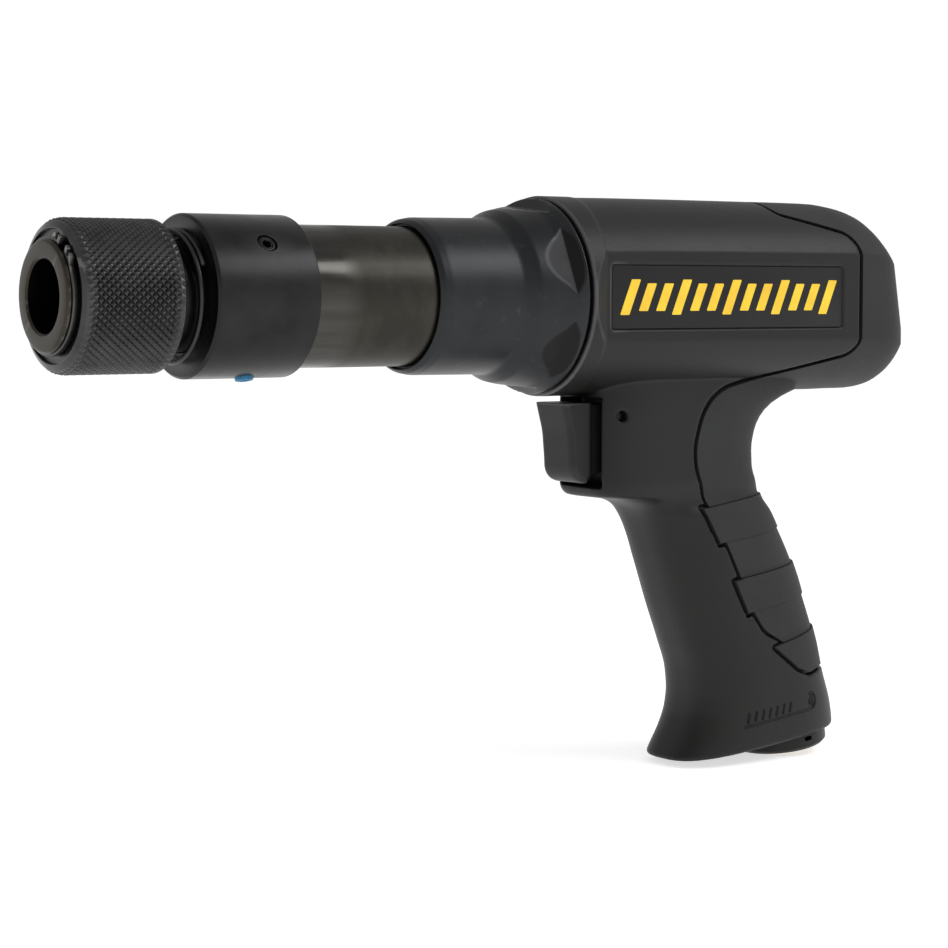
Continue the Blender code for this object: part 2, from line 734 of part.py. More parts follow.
def inlet(brass, steel, plastic, felt):
    foot, up = inlet_frame()
    turned_on("inlet_bushing", [
        (0.4, INLET_R), (0, INLET_R + 0.4), (0, 10.2), (0.3, 10.5), (2.6, 10.5), (2.6, 9.0),
        (6.1, 9.0), (6.1, BUSHING_R), (26, BUSHING_R), (26, INLET_R),
    ], brass, foot, up, MID)
    screen = turned_on("inlet_screen", [(26.3, 0), (26.3, 8.3), (27.6, 8.3), (27.6, 0)],
                       steel, foot, up)
    for k in range(5):
        turn = 2 * math.pi * k / 5
        shift = Vector((0, math.cos(turn), math.sin(turn) * 0.98)).cross(up) * 0.0042
        start = foot + shift + up * 0.025
        cut(screen, rod("hole", start, start + up * 0.004, 1.3, steel, 10))
    settle(screen, steel)
    deflector(foot, up, plastic)
    turned_on("exhaust_felt", [(8.2, 10.1), (8.2, 13.0), (11.2, 13.0), (11.2, 10.1)],
              felt, foot, up)


def deflector(foot, up, mat):
    """A ring that turns on the bushing and sends the exhaust out through six side holes."""
    ring = turned_on("exhaust_deflector", [
        (0.2, 10.8), (0.2, DEFLECTOR_R - 1.0), (1.2, DEFLECTOR_R), (5.4, DEFLECTOR_R),
        (6.2, DEFLECTOR_R - 0.4), (6.2, 13.2), (3.2, 13.2), (3.2, 10.9), (6.2, 10.2), (6.2, 9.3),
        (2.9, 9.3), (2.9, 10.8),
    ], mat, foot, up, MID)
    across = Vector((0, 1, 0)).cross(up)
    for k in range(6):
        turn = math.radians(88 + 60 * k)
        out = across * math.cos(turn) + Vector((0, 1, 0)) * math.sin(turn)
        start = foot + up * 0.0046 + out * 0.0118
        cut(ring, rod("hole", start, start + out * 0.006, 1.0, mat, 8))
    return settle(ring, mat)


# ---------------------------------------------------------------- all

def main():
    for obj in list(bpy.data.objects):
        bpy.data.objects.remove(obj)
    oxide = material("black_oxide_steel", (0.030, 0.029, 0.030), 0.85, 0.38)
    burnt = material("barrel_steel", (0.055, 0.050, 0.046), 0.9, 0.36)
    bright = material("bright_steel", (0.42, 0.42, 0.43), 1.0, 0.28)
    brass = material("brass", (0.55, 0.38, 0.14), 1.0, 0.32)
    bronze = material("bronze", (0.36, 0.22, 0.10), 1.0, 0.40)
    plastic = material("black_composite", (0.030, 0.031, 0.033), 0.0, 0.48)
    soft = material("soft_rubber", (0.026, 0.028, 0.031), 0.0, 0.72)
    seal = material("seal_rubber", (0.018, 0.018, 0.018), 0.0, 0.6)
    blue = material("thread_lock", (0.02, 0.26, 0.58), 0.0, 0.5)
    label = material("badge_film", (0.020, 0.020, 0.021), 0.0, 0.42)
    felt = material("felt", (0.30, 0.29, 0.26), 0.0, 0.95)

    nose_tube(burnt)
    knurled_sleeve(oxide)
    snap_ring(oxide)
    locking_balls(bright)
    coil("sleeve_spring", place(24.6, 0, 0), Vector((1, 0, 0)), 13.8, 17.1, 0.85, 3.6, oxide)
    collar(oxide)
    set_screws(oxide, blue)
    barrel(burnt)
    barrel_parts(oxide, bright, seal)
    front_nut(oxide)
    nut_parts(bronze, seal)
    housing(plastic)
    rear_grip(soft)
    damper(oxide, seal)
    badge("badge_left", -1, label)
    badge("badge_right", 1, label)
    trigger(plastic)
    throttle(bright, brass, seal)
    inlet(brass, bright, plastic, felt)


main()
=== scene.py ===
"""Looks of the pneumatic air hammer: detailed pieces, procedural materials, camera and light.

Lengths are millimetres until place() turns them into the frame's metres. A station is a
distance from the nose face towards the rear, along the barrel axis. A side offset is negative
on the tool's left, which faces the camera, and a height is measured up from the barrel axis.
"""

import json
import math

import bmesh
import bpy
import numpy as np
from mathutils import Matrix, Vector


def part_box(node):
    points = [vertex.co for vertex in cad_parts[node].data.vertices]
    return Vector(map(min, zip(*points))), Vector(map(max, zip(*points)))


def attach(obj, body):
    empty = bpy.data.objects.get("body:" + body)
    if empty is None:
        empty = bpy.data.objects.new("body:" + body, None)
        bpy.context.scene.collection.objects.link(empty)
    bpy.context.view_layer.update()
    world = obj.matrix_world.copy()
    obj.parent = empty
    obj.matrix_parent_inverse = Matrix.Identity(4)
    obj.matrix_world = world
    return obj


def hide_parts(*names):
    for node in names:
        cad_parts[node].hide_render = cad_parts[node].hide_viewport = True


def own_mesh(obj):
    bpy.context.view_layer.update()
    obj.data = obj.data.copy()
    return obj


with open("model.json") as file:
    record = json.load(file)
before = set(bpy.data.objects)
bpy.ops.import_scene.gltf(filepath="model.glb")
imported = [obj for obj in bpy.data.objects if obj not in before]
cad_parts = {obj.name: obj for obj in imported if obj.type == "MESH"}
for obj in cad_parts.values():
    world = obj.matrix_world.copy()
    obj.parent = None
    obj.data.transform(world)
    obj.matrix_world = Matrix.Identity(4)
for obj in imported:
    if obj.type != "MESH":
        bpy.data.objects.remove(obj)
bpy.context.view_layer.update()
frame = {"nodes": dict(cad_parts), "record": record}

NOSE_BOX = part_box("nose_tube")
NOSE_X = NOSE_BOX[0].x * 1000
AXIS_Z = (NOSE_BOX[0].z + NOSE_BOX[1].z) * 500


def extent(node):
    """First station, last station and radius of a node turned about the barrel axis."""
    low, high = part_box(node)
    return low.x * 1000 - NOSE_X, high.x * 1000 - NOSE_X, (high.z - low.z) * 500


# Quick-change retainer
NOSE_R = extent("nose_tube")[2]
CLIP_FRONT, CLIP_REAR, CLIP_EAR_R = extent("snap_ring")
CLIP_R = CLIP_EAR_R - 1.7
CLIP_GAP_ANGLE = 55.0
SLEEVE_FRONT, SLEEVE_REAR, SLEEVE_R = extent("knurled_sleeve")
KNURLS_ROUND = 62
KNURL_PITCH = 2.3
KNURL_DEPTH = 0.5
SPRING_FRONT, SPRING_REAR, SPRING_R = extent("sleeve_spring")
COLLAR_FRONT, COLLAR_REAR, COLLAR_R = extent("retainer_collar")
SCREW_STATION = 55.75
SCREW_ANGLES = (40.0, 160.0, -80.0)
SCREW_R = 2.45

# Barrel and nut
BARREL_R = extent("cylinder_barrel")[2]
BARREL_FRONT, BARREL_REAR = extent("cylinder_barrel")[:2]
NUT_FRONT, NUT_THREAD_END, NUT_RIM_R = extent("front_nut")
NUT_REAR = 152.4
FLAT_DISTANCE = 24.8
FLAT_WALL = 148.7
FLAT_FIRST_ANGLE = 23.5

# Housing and handle
BODY_R = 28.6
SIDE_FLAT = 25.6
BADGE_FROM, BADGE_TO = 161.5, 249.5
BADGE_LOW, BADGE_HIGH = -9.4, 9.0
BADGE_DEPTH = 0.9
POCKET_HALF = 9.7
POCKET_BACK = 178.4
POCKET_LOW, POCKET_HIGH = -55.2, -29.2
PIVOT = (174.9, -34.4)
THROTTLE_HEIGHT = -44.0
SKIN = 2.2
INLET_TILT = 8.0
INLET_FOOT = (248.2, -138.6)
DEFLECTOR_R = 14.6
VOXEL = 0.00055


# ---------------------------------------------------------------- placing

def place(station, side, height):
    return Vector((NOSE_X + station, side, AXIS_Z + height)) / 1000


def around(station, radius, angle):
    """A point on a circle about the barrel axis; 0 degrees is the tool's left and 90 the top."""
    turn = math.radians(angle)
    return place(station, -radius * math.cos(turn), radius * math.sin(turn))


def inlet_frame():
    """Foot point of the inlet axis, and the way into the grip along it."""
    tilt = math.radians(INLET_TILT)
    return place(INLET_FOOT[0], 0, INLET_FOOT[1]), Vector((-math.sin(tilt), 0, math.cos(tilt)))


# ---------------------------------------------------------------- shader graphs

class Graph:
    """A material's node tree, with short ways to add the nodes used here."""

    def __init__(self, name, colour, metallic, roughness):
        self.mat = bpy.data.materials.new(name)
        self.mat.use_nodes = True
        self.tree = self.mat.node_tree
        self.shader = self.tree.nodes["Principled BSDF"]
        self.set("Base Color", (*colour, 1.0))
        self.set("Metallic", metallic)
        self.set("Roughness", roughness)
        self.where = self.tree.nodes.new("ShaderNodeTexCoord").outputs["Object"]

    def set(self, socket, value):
        self.shader.inputs[socket].default_value = value

    def link(self, output, socket):
        target = self.shader.inputs[socket] if isinstance(socket, str) else socket
        self.tree.links.new(output, target)

    def scaled(self, x, y, z):
        """The object's coordinates, stretched along each axis."""
        node = self.tree.nodes.new("ShaderNodeMapping")
        node.inputs["Scale"].default_value = (x, y, z)
        self.link(self.where, node.inputs["Vector"])
        return node.outputs["Vector"]

    def noise(self, scale, detail=3.0, rough=0.5, vector=None, distortion=0.0):
        node = self.tree.nodes.new("ShaderNodeTexNoise")
        node.inputs["Scale"].default_value = scale
        node.inputs["Detail"].default_value = detail
        node.inputs["Roughness"].default_value = rough
        node.inputs["Distortion"].default_value = distortion
        self.link(vector or self.where, node.inputs["Vector"])
        return node.outputs["Fac"]

    def cells(self, scale):
        node = self.tree.nodes.new("ShaderNodeTexVoronoi")
        node.inputs["Scale"].default_value = scale
        self.link(self.where, node.inputs["Vector"])
        return node.outputs["Distance"]

    def axis(self, name):
        node = self.tree.nodes.new("ShaderNodeSeparateXYZ")
        self.link(self.where, node.inputs["Vector"])
        return node.outputs[name]

    def from_axis(self):
        """Distance from the barrel's axis, in metres."""
        height = self.math("SUBTRACT", self.axis("Z"), AXIS_Z / 1000)
        square = self.math("ADD", self.math("MULTIPLY", height, height),
                           self.math("MULTIPLY", self.axis("Y"), self.axis("Y")))
        return self.math("SQRT", square, 0.0)

    def range(self, value, low, high, to_low=0.0, to_high=1.0):
        node = self.tree.nodes.new("ShaderNodeMapRange")
        node.inputs["From Min"].default_value = low
        node.inputs["From Max"].default_value = high
        node.inputs["To Min"].default_value = to_low
        node.inputs["To Max"].default_value = to_high
        self.link(value, node.inputs["Value"])
        return node.outputs["Result"]

    def math(self, operation, first, second):
        node = self.tree.nodes.new("ShaderNodeMath")
        node.operation = operation
        for value, socket in ((first, node.inputs[0]), (second, node.inputs[1])):
            if isinstance(value, (int, float)):
                socket.default_value = value
            else:
                self.link(value, socket)
        return node.outputs["Value"]

    def mix(self, factor, first, second):
        """A colour between two; each is a colour triple or another node's output."""
        node = self.tree.nodes.new("ShaderNodeMix")
        node.data_type = "RGBA"
        self.link(factor, node.inputs["Factor"])
        for value, socket in ((first, node.inputs[6]), (second, node.inputs[7])):
            if isinstance(value, tuple):
                socket.default_value = (*value, 1.0)
            else:
                self.link(value, socket)
        return node.outputs[2]

    def sharp_edges(self, low=0.53, high=0.60):
        """0 on faces and hollows, 1 on sharp outer edges."""
        node = self.tree.nodes.new("ShaderNodeNewGeometry")
        return self.range(node.outputs["Pointiness"], low, high)

    def bump(self, height, distance, strength=1.0, after=None):
        node = self.tree.nodes.new("ShaderNodeBump")
        node.inputs["Strength"].default_value = strength
        node.inputs["Distance"].default_value = distance
        self.link(height, node.inputs["Height"])
        if after is not None:
            self.link(after, node.inputs["Normal"])
        return node.outputs["Normal"]


def turned_steel(name, colour, pale, roughness, metallic=1.0, marks=0.5):
    """Machined steel: fine rings from the lathe, uneven oxide, and paler edges, partly wear and partly
    a painted highlight.
    """
    g = Graph(name, colour, metallic, roughness)
    rings = g.noise(9000, 2.0, 0.6, g.scaled(1.0, 0.004, 0.004))
    cloud = g.noise(90, 4.0, 0.6)
    grain = g.noise(2600, 2.0, 0.5)
    darker = tuple(c * 0.72 for c in colour)
    base = g.mix(g.range(cloud, 0.3, 0.7), darker, colour)
    # painted highlight: sharp edges take the paler colour, partly wear and partly standing in for
    # glints of light on the edges
    g.link(g.mix(g.sharp_edges(), base, pale), "Base Color")
    blend = g.math("ADD", g.math("MULTIPLY", rings, 0.4), g.math("MULTIPLY", cloud, 0.6))
    g.link(g.range(blend, 0.3, 0.7, roughness - 0.07, roughness + 0.1), "Roughness")
    first = g.bump(rings, 0.000004, marks)
    g.link(g.bump(grain, 0.000006, marks, first), "Normal")
    return g


def oxide_steel():
    return turned_steel("visual_black_oxide", (0.032, 0.032, 0.033), (0.11, 0.11, 0.11), 0.34).mat


def knurl_steel():
    """Black oxide scraped through on the tips of the knurl."""
    g = Graph("visual_knurl_oxide", (0.02, 0.02, 0.021), 1.0, 0.3)
    cloud = g.noise(150, 4.0, 0.6)
    base = g.mix(g.range(cloud, 0.3, 0.7), (0.042, 0.042, 0.044), (0.066, 0.065, 0.064))
    tips = g.math("MULTIPLY", g.sharp_edges(0.52, 0.62), g.range(cloud, 0.25, 0.6, 0.4, 1.0))
    g.link(g.mix(tips, base, (0.15, 0.145, 0.14)), "Base Color")
    g.link(g.range(cloud, 0.3, 0.7, 0.24, 0.40), "Roughness")
    g.link(g.bump(g.noise(5200, 3.0, 0.6), 0.000012), "Normal")
    return g.mat


def nose_steel():
    """Brown at the face with paler edges, partly wear and partly a painted highlight, blackened
    further back, and darkened inside the bore as painted shade.
    """
    g = Graph("visual_nose_steel", (0.055, 0.049, 0.042), 1.0, 0.36)
    start = NOSE_X / 1000
    cloud = g.noise(120, 4.0, 0.6)
    brown = g.mix(g.range(cloud, 0.3, 0.7), (0.034, 0.029, 0.023), (0.047, 0.041, 0.033))
    # painted highlight: sharp edges of the face get a paler colour, partly wear and partly standing in
    # for a bright edge highlight
    edge_wear_and_highlight = g.mix(g.sharp_edges(0.52, 0.60), brown, (0.075, 0.070, 0.060))
    back = g.range(g.axis("X"), start + 0.0016, start + 0.0026)
    outer = g.mix(back, edge_wear_and_highlight, (0.026, 0.026, 0.027))
    # painted shade: points within the bore's radius get a near-black colour, standing in for the shade
    # inside the bore
    inside = g.range(g.from_axis(), 0.0093, 0.0097, 1.0, 0.0)
    g.link(g.mix(inside, outer, (0.012, 0.011, 0.010)), "Base Color")
    g.link(g.range(cloud, 0.3, 0.7, 0.30, 0.42), "Roughness")
    rings = g.noise(9000, 2.0, 0.6, g.scaled(1.0, 0.004, 0.004))
    first = g.bump(rings, 0.000004, 0.4)
    g.link(g.bump(g.noise(1800, 3.0, 0.6), 0.000010, 0.6, first), "Normal")
    return g.mat


def clip_steel():
    """Spring steel in a grey finish, made lighter than it is as painted light for the shade the clip
    sits in, with paler edges, partly wear and partly a painted highlight.
    """
    # painted light: the base colour is lifted to make up for the shade between the nose ring and the
    # sleeve
    return turned_steel("visual_clip_steel", (0.075, 0.074, 0.072), (0.24, 0.235, 0.225), 0.36).mat


def barrel_steel():
    """Burnished steel: polished next to the collar, browned by heat and oil further back."""
    g = Graph("visual_barrel_steel", (0.06, 0.055, 0.05), 1.0, 0.3)
    start = NOSE_X / 1000
    along = g.axis("X")
    cloud = g.noise(70, 5.0, 0.65, g.scaled(1.0, 0.55, 0.55))
    streaks = g.noise(420, 3.0, 0.55, g.scaled(0.06, 1.0, 1.0))
    polished = g.range(along, start + 0.078, start + 0.084, 1.0, 0.0)
    brown = g.mix(g.range(cloud, 0.35, 0.65), (0.036, 0.035, 0.030), (0.060, 0.056, 0.047))
    bright = g.mix(g.range(streaks, 0.3, 0.7), (0.051, 0.049, 0.045), (0.069, 0.067, 0.061))
    g.link(g.mix(polished, brown, bright), "Base Color")
    rough = g.math("ADD", g.range(cloud, 0.3, 0.7, 0.32, 0.44),
                   g.range(streaks, 0.3, 0.7, 0.0, 0.05))
    g.link(g.math("ADD", rough, g.math("MULTIPLY", polished, -0.23)), "Roughness")
    rings = g.noise(9000, 2.0, 0.6, g.scaled(1.0, 0.004, 0.004))
    g.link(g.bump(rings, 0.000004, 0.5), "Normal")
    return g.mat


def nut_steel():
    """Satin blackened finish with light scuffs of wear; the wrench flats get a darker colour as
    painted shade, in place of the key lamp's reflection on them.
    """
    g = Graph("visual_nut_black", (0.040, 0.041, 0.043), 1.0, 0.38)
    cloud = g.noise(60, 4.0, 0.6)
    grain = g.noise(1900, 3.0, 0.55)
    base = g.mix(g.range(cloud, 0.3, 0.7), (0.030, 0.031, 0.033), (0.039, 0.040, 0.042))
    scuffs = g.range(g.noise(260, 5.0, 0.7), 0.60, 0.72, 0.0, 0.35)
    pale = g.mix(scuffs, base, (0.075, 0.075, 0.075))
    start = NOSE_X / 1000
    cone = g.math("ADD", g.range(g.axis("X"), start + 0.1382, start + 0.1465, 0.0243, 0.0260),
                  g.range(g.axis("X"), start + 0.1465, start + 0.1506, 0.0, 0.0017))
    # painted shade: points just inside the flared cone's surface, on the wrench flats, get a darker
    # colour
    low = g.range(g.math("SUBTRACT", cone, g.from_axis()), 0.00012, 0.00035)
    flats = g.math("MULTIPLY", low, g.range(g.axis("X"), start + 0.1400, start + 0.1405))
    g.link(g.mix(flats, pale, (0.020, 0.020, 0.021)), "Base Color")
    g.link(g.range(cloud, 0.3, 0.7, 0.34, 0.44), "Roughness")
    g.link(g.bump(grain, 0.000010, 0.6), "Normal")
    return g.mat


def housing_plastic():
    """Glass-filled nylon: a fine moulded texture, faint flow clouds, shinier edges, and paler edges at
    the mouth, partly wear and partly a painted highlight.
    """
    g = Graph("visual_black_composite", (0.016, 0.016, 0.017), 0.0, 0.46)
    cloud = g.noise(38, 4.0, 0.6)
    grain = g.noise(2300, 3.0, 0.6)
    base = g.mix(g.range(cloud, 0.3, 0.7), (0.0060, 0.0060, 0.0057), (0.0090, 0.0090, 0.0084))
    mouth = NOSE_X / 1000 + 0.160
    # painted highlight: sharp edges near the housing's mouth are made paler, partly wear and partly
    # standing in for the light lines along the band's crease
    mouth_edge_wear_and_highlight = g.math("MULTIPLY", g.sharp_edges(0.508, 0.54),
                    g.range(g.axis("X"), mouth, mouth + 0.008, 1.0, 0.0))
    g.link(g.mix(mouth_edge_wear_and_highlight, base, (0.070, 0.071, 0.074)), "Base Color")
    g.set("Specular IOR Level", 0.28)
    rough = g.math("ADD", g.range(grain, 0.3, 0.7, 0.40, 0.50), g.range(cloud, 0.3, 0.7, -0.03, 0.03))
    g.link(g.math("SUBTRACT", rough, g.math("MULTIPLY", g.sharp_edges(), 0.08)), "Roughness")
    fine = g.bump(grain, 0.000022, 0.75)
    g.link(g.bump(g.cells(900), 0.000012, 0.35, fine), "Normal")
    return g.mat


def grip_rubber():
    """Soft overmoulded rubber: matt, slightly bluish, with a few paler specks of dust."""
    g = Graph("visual_soft_rubber", (0.018, 0.019, 0.021), 0.0, 0.66)
    cloud = g.noise(55, 4.0, 0.6)
    grain = g.noise(3100, 3.0, 0.65)
    base = g.mix(g.range(cloud, 0.3, 0.7), (0.0115, 0.0119, 0.0119), (0.0172, 0.0177, 0.0177))
    dust = g.range(g.cells(260), 0.075, 0.045)
    patchy = g.math("MULTIPLY", dust, g.range(g.noise(120, 2.0), 0.52, 0.66))
    g.link(g.mix(g.math("MULTIPLY", patchy, 0.30), base, (0.10, 0.10, 0.10)), "Base Color")
    g.link(g.range(grain, 0.3, 0.7, 0.60, 0.76), "Roughness")
    g.set("Specular IOR Level", 0.36)
    g.set("Sheen Weight", 0.04)
    g.set("Sheen Roughness", 0.5)
    g.link(g.bump(grain, 0.000020, 0.8), "Normal")
    return g.mat


def badge_film():
    g = Graph("visual_badge_film", (0.0075, 0.0075, 0.0078), 0.0, 0.34)
    grain = g.noise(1500, 3.0, 0.5)
    cloud = g.noise(45, 3.0)
    g.link(g.mix(g.range(cloud, 0.3, 0.7), (0.0065, 0.0065, 0.007), (0.0095, 0.0095, 0.010)),
           "Base Color")
    g.link(g.range(grain, 0.3, 0.7, 0.36, 0.48), "Roughness")
    g.set("Specular IOR Level", 0.26)
    g.link(g.bump(grain, 0.000008, 0.5), "Normal")
    return g.mat


def badge_paint():
    g = Graph("visual_badge_yellow", (0.80, 0.50, 0.03), 0.0, 0.4)
    cloud = g.noise(130, 3.0)
    g.link(g.mix(g.range(cloud, 0.3, 0.7), (0.84, 0.52, 0.016), (0.96, 0.64, 0.026)),
           "Base Color")
    g.link(g.range(g.noise(1700, 2.0), 0.3, 0.7, 0.34, 0.48), "Roughness")
    g.link(g.bump(g.noise(2600, 2.0), 0.000008, 0.5), "Normal")
    return g.mat


def thread_lock():
    """Blue locking patch: waxy, lumpy, deeper in its hollows."""
    g = Graph("visual_thread_lock", (0.012, 0.23, 0.52), 0.0, 0.42)
    lumps = g.noise(900, 3.0, 0.6)
    g.link(g.mix(g.range(lumps, 0.3, 0.7), (0.003, 0.10, 0.23), (0.011, 0.21, 0.38)),
           "Base Color")
    g.link(g.range(lumps, 0.3, 0.7, 0.34, 0.5), "Roughness")
    g.link(g.bump(lumps, 0.00012, 0.8), "Normal")
    return g.mat


def plain_metal(name, colour, roughness):
    """Bright inner parts: brushed, with faint stains."""
    g = Graph(name, colour, 1.0, roughness)
    streaks = g.noise(700, 3.0, 0.6, g.scaled(0.05, 1.0, 1.0))
    stains = g.noise(110, 4.0, 0.6)
    darker = tuple(c * 0.7 for c in colour)
    g.link(g.mix(g.range(stains, 0.35, 0.65), darker, colour), "Base Color")
    g.link(g.range(streaks, 0.3, 0.7, roughness - 0.06, roughness + 0.1), "Roughness")
    g.link(g.bump(streaks, 0.000006, 0.5), "Normal")
    return g.mat


def seal_rubber():
    g = Graph("visual_seal_rubber", (0.012, 0.012, 0.012), 0.0, 0.5)
    grain = g.noise(2000, 3.0)
    g.link(g.mix(g.range(g.noise(80), 0.3, 0.7), (0.009, 0.009, 0.009), (0.015, 0.015, 0.015)),
           "Base Color")
    g.link(g.range(grain, 0.3, 0.7, 0.42, 0.6), "Roughness")
    g.link(g.bump(grain, 0.00001, 0.6), "Normal")
    return g.mat


def felt_fibre():
    g = Graph("visual_felt", (0.26, 0.25, 0.22), 0.0, 0.95)
    fibres = g.noise(2400, 5.0, 0.75, distortion=1.5)
    g.link(g.mix(fibres, (0.15, 0.145, 0.125), (0.36, 0.345, 0.30)), "Base Color")
    g.link(g.range(fibres, 0.3, 0.7, 0.85, 1.0), "Roughness")
    g.set("Sheen Weight", 0.3)
    g.link(g.bump(fibres, 0.0001, 0.8), "Normal")
    return g.mat


# ---------------------------------------------------------------- meshes

def dress(obj, mat, smooth=32.0):
    obj.data.materials.clear()
    obj.data.materials.append(mat)
    for face in obj.data.polygons:
        face.use_smooth = True
        face.material_index = 0
    obj.data.set_sharp_from_angle(angle=math.radians(smooth))
    return obj


def build(name, points, faces, mat, smooth=32.0):
    mesh = bpy.data.meshes.new(name)
    mesh.from_pydata([tuple(p) for p in points], [], faces)
    work = bmesh.new()
    work.from_mesh(mesh)
    bmesh.ops.recalc_face_normals(work, faces=work.faces)
    work.to_mesh(mesh)
    work.free()
    obj = bpy.data.objects.new(name, mesh)
    bpy.context.scene.collection.objects.link(obj)
    return dress(obj, mat, smooth)


def grid_faces(rows, closed_rows=False):
    """Quads between rows of vertex numbers; each row is a ring. A repeated number is a point."""
    faces = []
    pairs = list(zip(rows, rows[1:] + rows[:1] if closed_rows else rows[1:]))
    for here, there in pairs:
        count = len(here)
        for i in range(count):
            j = (i + 1) % count
            corners = list(dict.fromkeys((here[i], here[j], there[j], there[i])))
            if len(corners) > 2:
                faces.append(corners)
    return faces


def fillet(outline, steps=5):
    """A closed outline whose corners (x, y, radius) are rounded; a missing radius is sharp."""
    line = []
    for i, corner in enumerate(outline):
        here = Vector(corner[:2])
        radius = corner[2] if len(corner) > 2 else 0.0
        if not radius:
            line.append(tuple(here))
            continue
        back = (Vector(outline[i - 1][:2]) - here).normalized()
        ahead = (Vector(outline[(i + 1) % len(outline)][:2]) - here).normalized()
        half = back.angle(ahead) / 2
        centre = here + (back + ahead).normalized() * radius / math.sin(half)
        first = here + back * radius / math.tan(half) - centre
        last = here + ahead * radius / math.tan(half) - centre
        start = math.atan2(first.y, first.x)
        sweep = (math.atan2(last.y, last.x) - start + math.pi) % (2 * math.pi) - math.pi
        for k in range(steps + 1):
            turn = start + sweep * k / steps
            line.append((centre.x + radius * math.cos(turn), centre.y + radius * math.sin(turn)))
    return line


def turned(name, profile, mat, count=160, to_point=around, smooth=32.0):
    """A closed (along, radius, rounding) profile turned about an axis."""
    points, rows = [], []
    for along, radius in fillet(profile, 4):
        first = len(points)
        if radius < 1e-6:
            points.append(to_point(along, 0.0, 0.0))
            rows.append([first] * count)
            continue
        points += [to_point(along, radius, 360.0 * i / count) for i in range(count)]
        rows.append(list(range(first, first + count)))
    return build(name, points, grid_faces(rows, True), mat, smooth)


def turned_on(name, profile, mat, base, direction, count=64):
    """A part turned about any axis: base is the zero point and direction the way along."""
    turn = direction.normalized().to_track_quat("Z", "Y").to_matrix()

    def to_point(along, radius, angle):
        phase = math.radians(angle)
        local = Vector((radius * math.cos(phase), radius * math.sin(phase), along))
        return base + turn @ local / 1000

    return turned(name, profile, mat, count, to_point)


def rod(name, start, end, radius, mat, count=32):
    span = (end - start).length * 1000
    return turned_on(name, [(0, 0), (0, radius), (span, radius), (span, 0)], mat, start,
                     end - start, count)


def loft(name, rings, mat, smooth=32.0):
    """A solid through rings of points; each end closes onto its own centre point."""
    count = len(rings[0])
    points = [p for ring in rings for p in ring]
    rows = [list(range(k * count, (k + 1) * count)) for k in range(len(rings))]
    points += [sum(rings[0], Vector()) / count, sum(rings[-1], Vector()) / count]
    first, last = len(points) - 2, len(points) - 1
    rows = [[first] * count] + rows + [[last] * count]
    return build(name, points, grid_faces(rows), mat, smooth)


def offset(outline, amount):
    """Moves each corner of a closed outline outwards by amount."""
    line = np.array(outline, float)
    area = np.sum(line[:, 0] * np.roll(line[:, 1], -1) - line[:, 1] * np.roll(line[:, 0], -1))
    ahead = np.roll(line, -1, 0) - line
    ahead /= np.linalg.norm(ahead, axis=1)[:, None]
    normal = np.stack([ahead[:, 1], -ahead[:, 0]], 1) * (1 if area > 0 else -1)
    corner = normal + np.roll(normal, 1, 0)
    corner /= np.maximum(0.5, np.sum(corner * corner, 1) / 2)[:, None]
    return [tuple(p) for p in line + corner * amount]


def prism_faces(count):
    """Faces of a solid between two outlines of count corners each, listed one after the other."""
    faces = [list(range(count)), list(range(count, 2 * count))]
    faces += [[i, (i + 1) % count, count + (i + 1) % count, count + i] for i in range(count)]
    return faces


def slab(name, outline, low, high, mat):
    """A side outline of (station, height) pairs, from one side offset to another."""
    points = [place(s, side, h) for side in (low, high) for s, h in outline]
    return build(name, points, prism_faces(len(outline)), mat)


def pillow(name, outline, half, edge, mat, steps=5):
    """A slab whose rim is rounded over with the given radius on both sides."""
    rings = []
    for sign in (-1, 1):
        turns = [math.pi / 2 * k / steps for k in range(steps + 1)]
        if sign > 0:
            turns.reverse()
        for t in turns:
            line = offset(outline, -edge * (1 - math.sin(t)))
            side = sign * (half - edge * (1 - math.cos(t)))
            rings.append([place(s, side, h) for s, h in line])
    count = len(outline)
    points = [p for ring in rings for p in ring]
    rows = [list(range(k * count, (k + 1) * count)) for k in range(len(rings))]
    faces = grid_faces(rows) + [rows[0], rows[-1]]
    return build(name, points, faces, mat, 50.0)


def block(name, low, high, mat):
    outline = [(low[0], low[2]), (high[0], low[2]), (high[0], high[2]), (low[0], high[2])]
    return slab(name, outline, low[1], high[1], mat)


def combine(obj, other, operation):
    """Applies one Boolean to obj and removes the other object."""
    step = obj.modifiers.new("combine", "BOOLEAN")
    step.operation = operation
    step.solver = "EXACT"
    step.object = other
    settle(obj)
    bpy.data.objects.remove(other)
    return obj


def settle(obj):
    """Replaces an object's mesh by what its modifiers make of it."""
    graph = bpy.context.evaluated_depsgraph_get()
    mesh = bpy.data.meshes.new_from_object(obj.evaluated_get(graph))
    obj.modifiers.clear()
    obj.data = mesh
    return obj


def cut(obj, *cutters):
    for cutter in cutters:
        combine(obj, cutter, "DIFFERENCE")
    return obj


def join(obj, *others):
    for other in others:
        combine(obj, other, "UNION")
    return obj


def bevelled(obj, width, angle=30.0, segments=2):
    step = obj.modifiers.new("edges", "BEVEL")
    step.width = width / 1000
    step.segments = segments
    step.limit_method = "ANGLE"
    step.angle_limit = math.radians(angle)
    step.harden_normals = False
    return settle(obj)


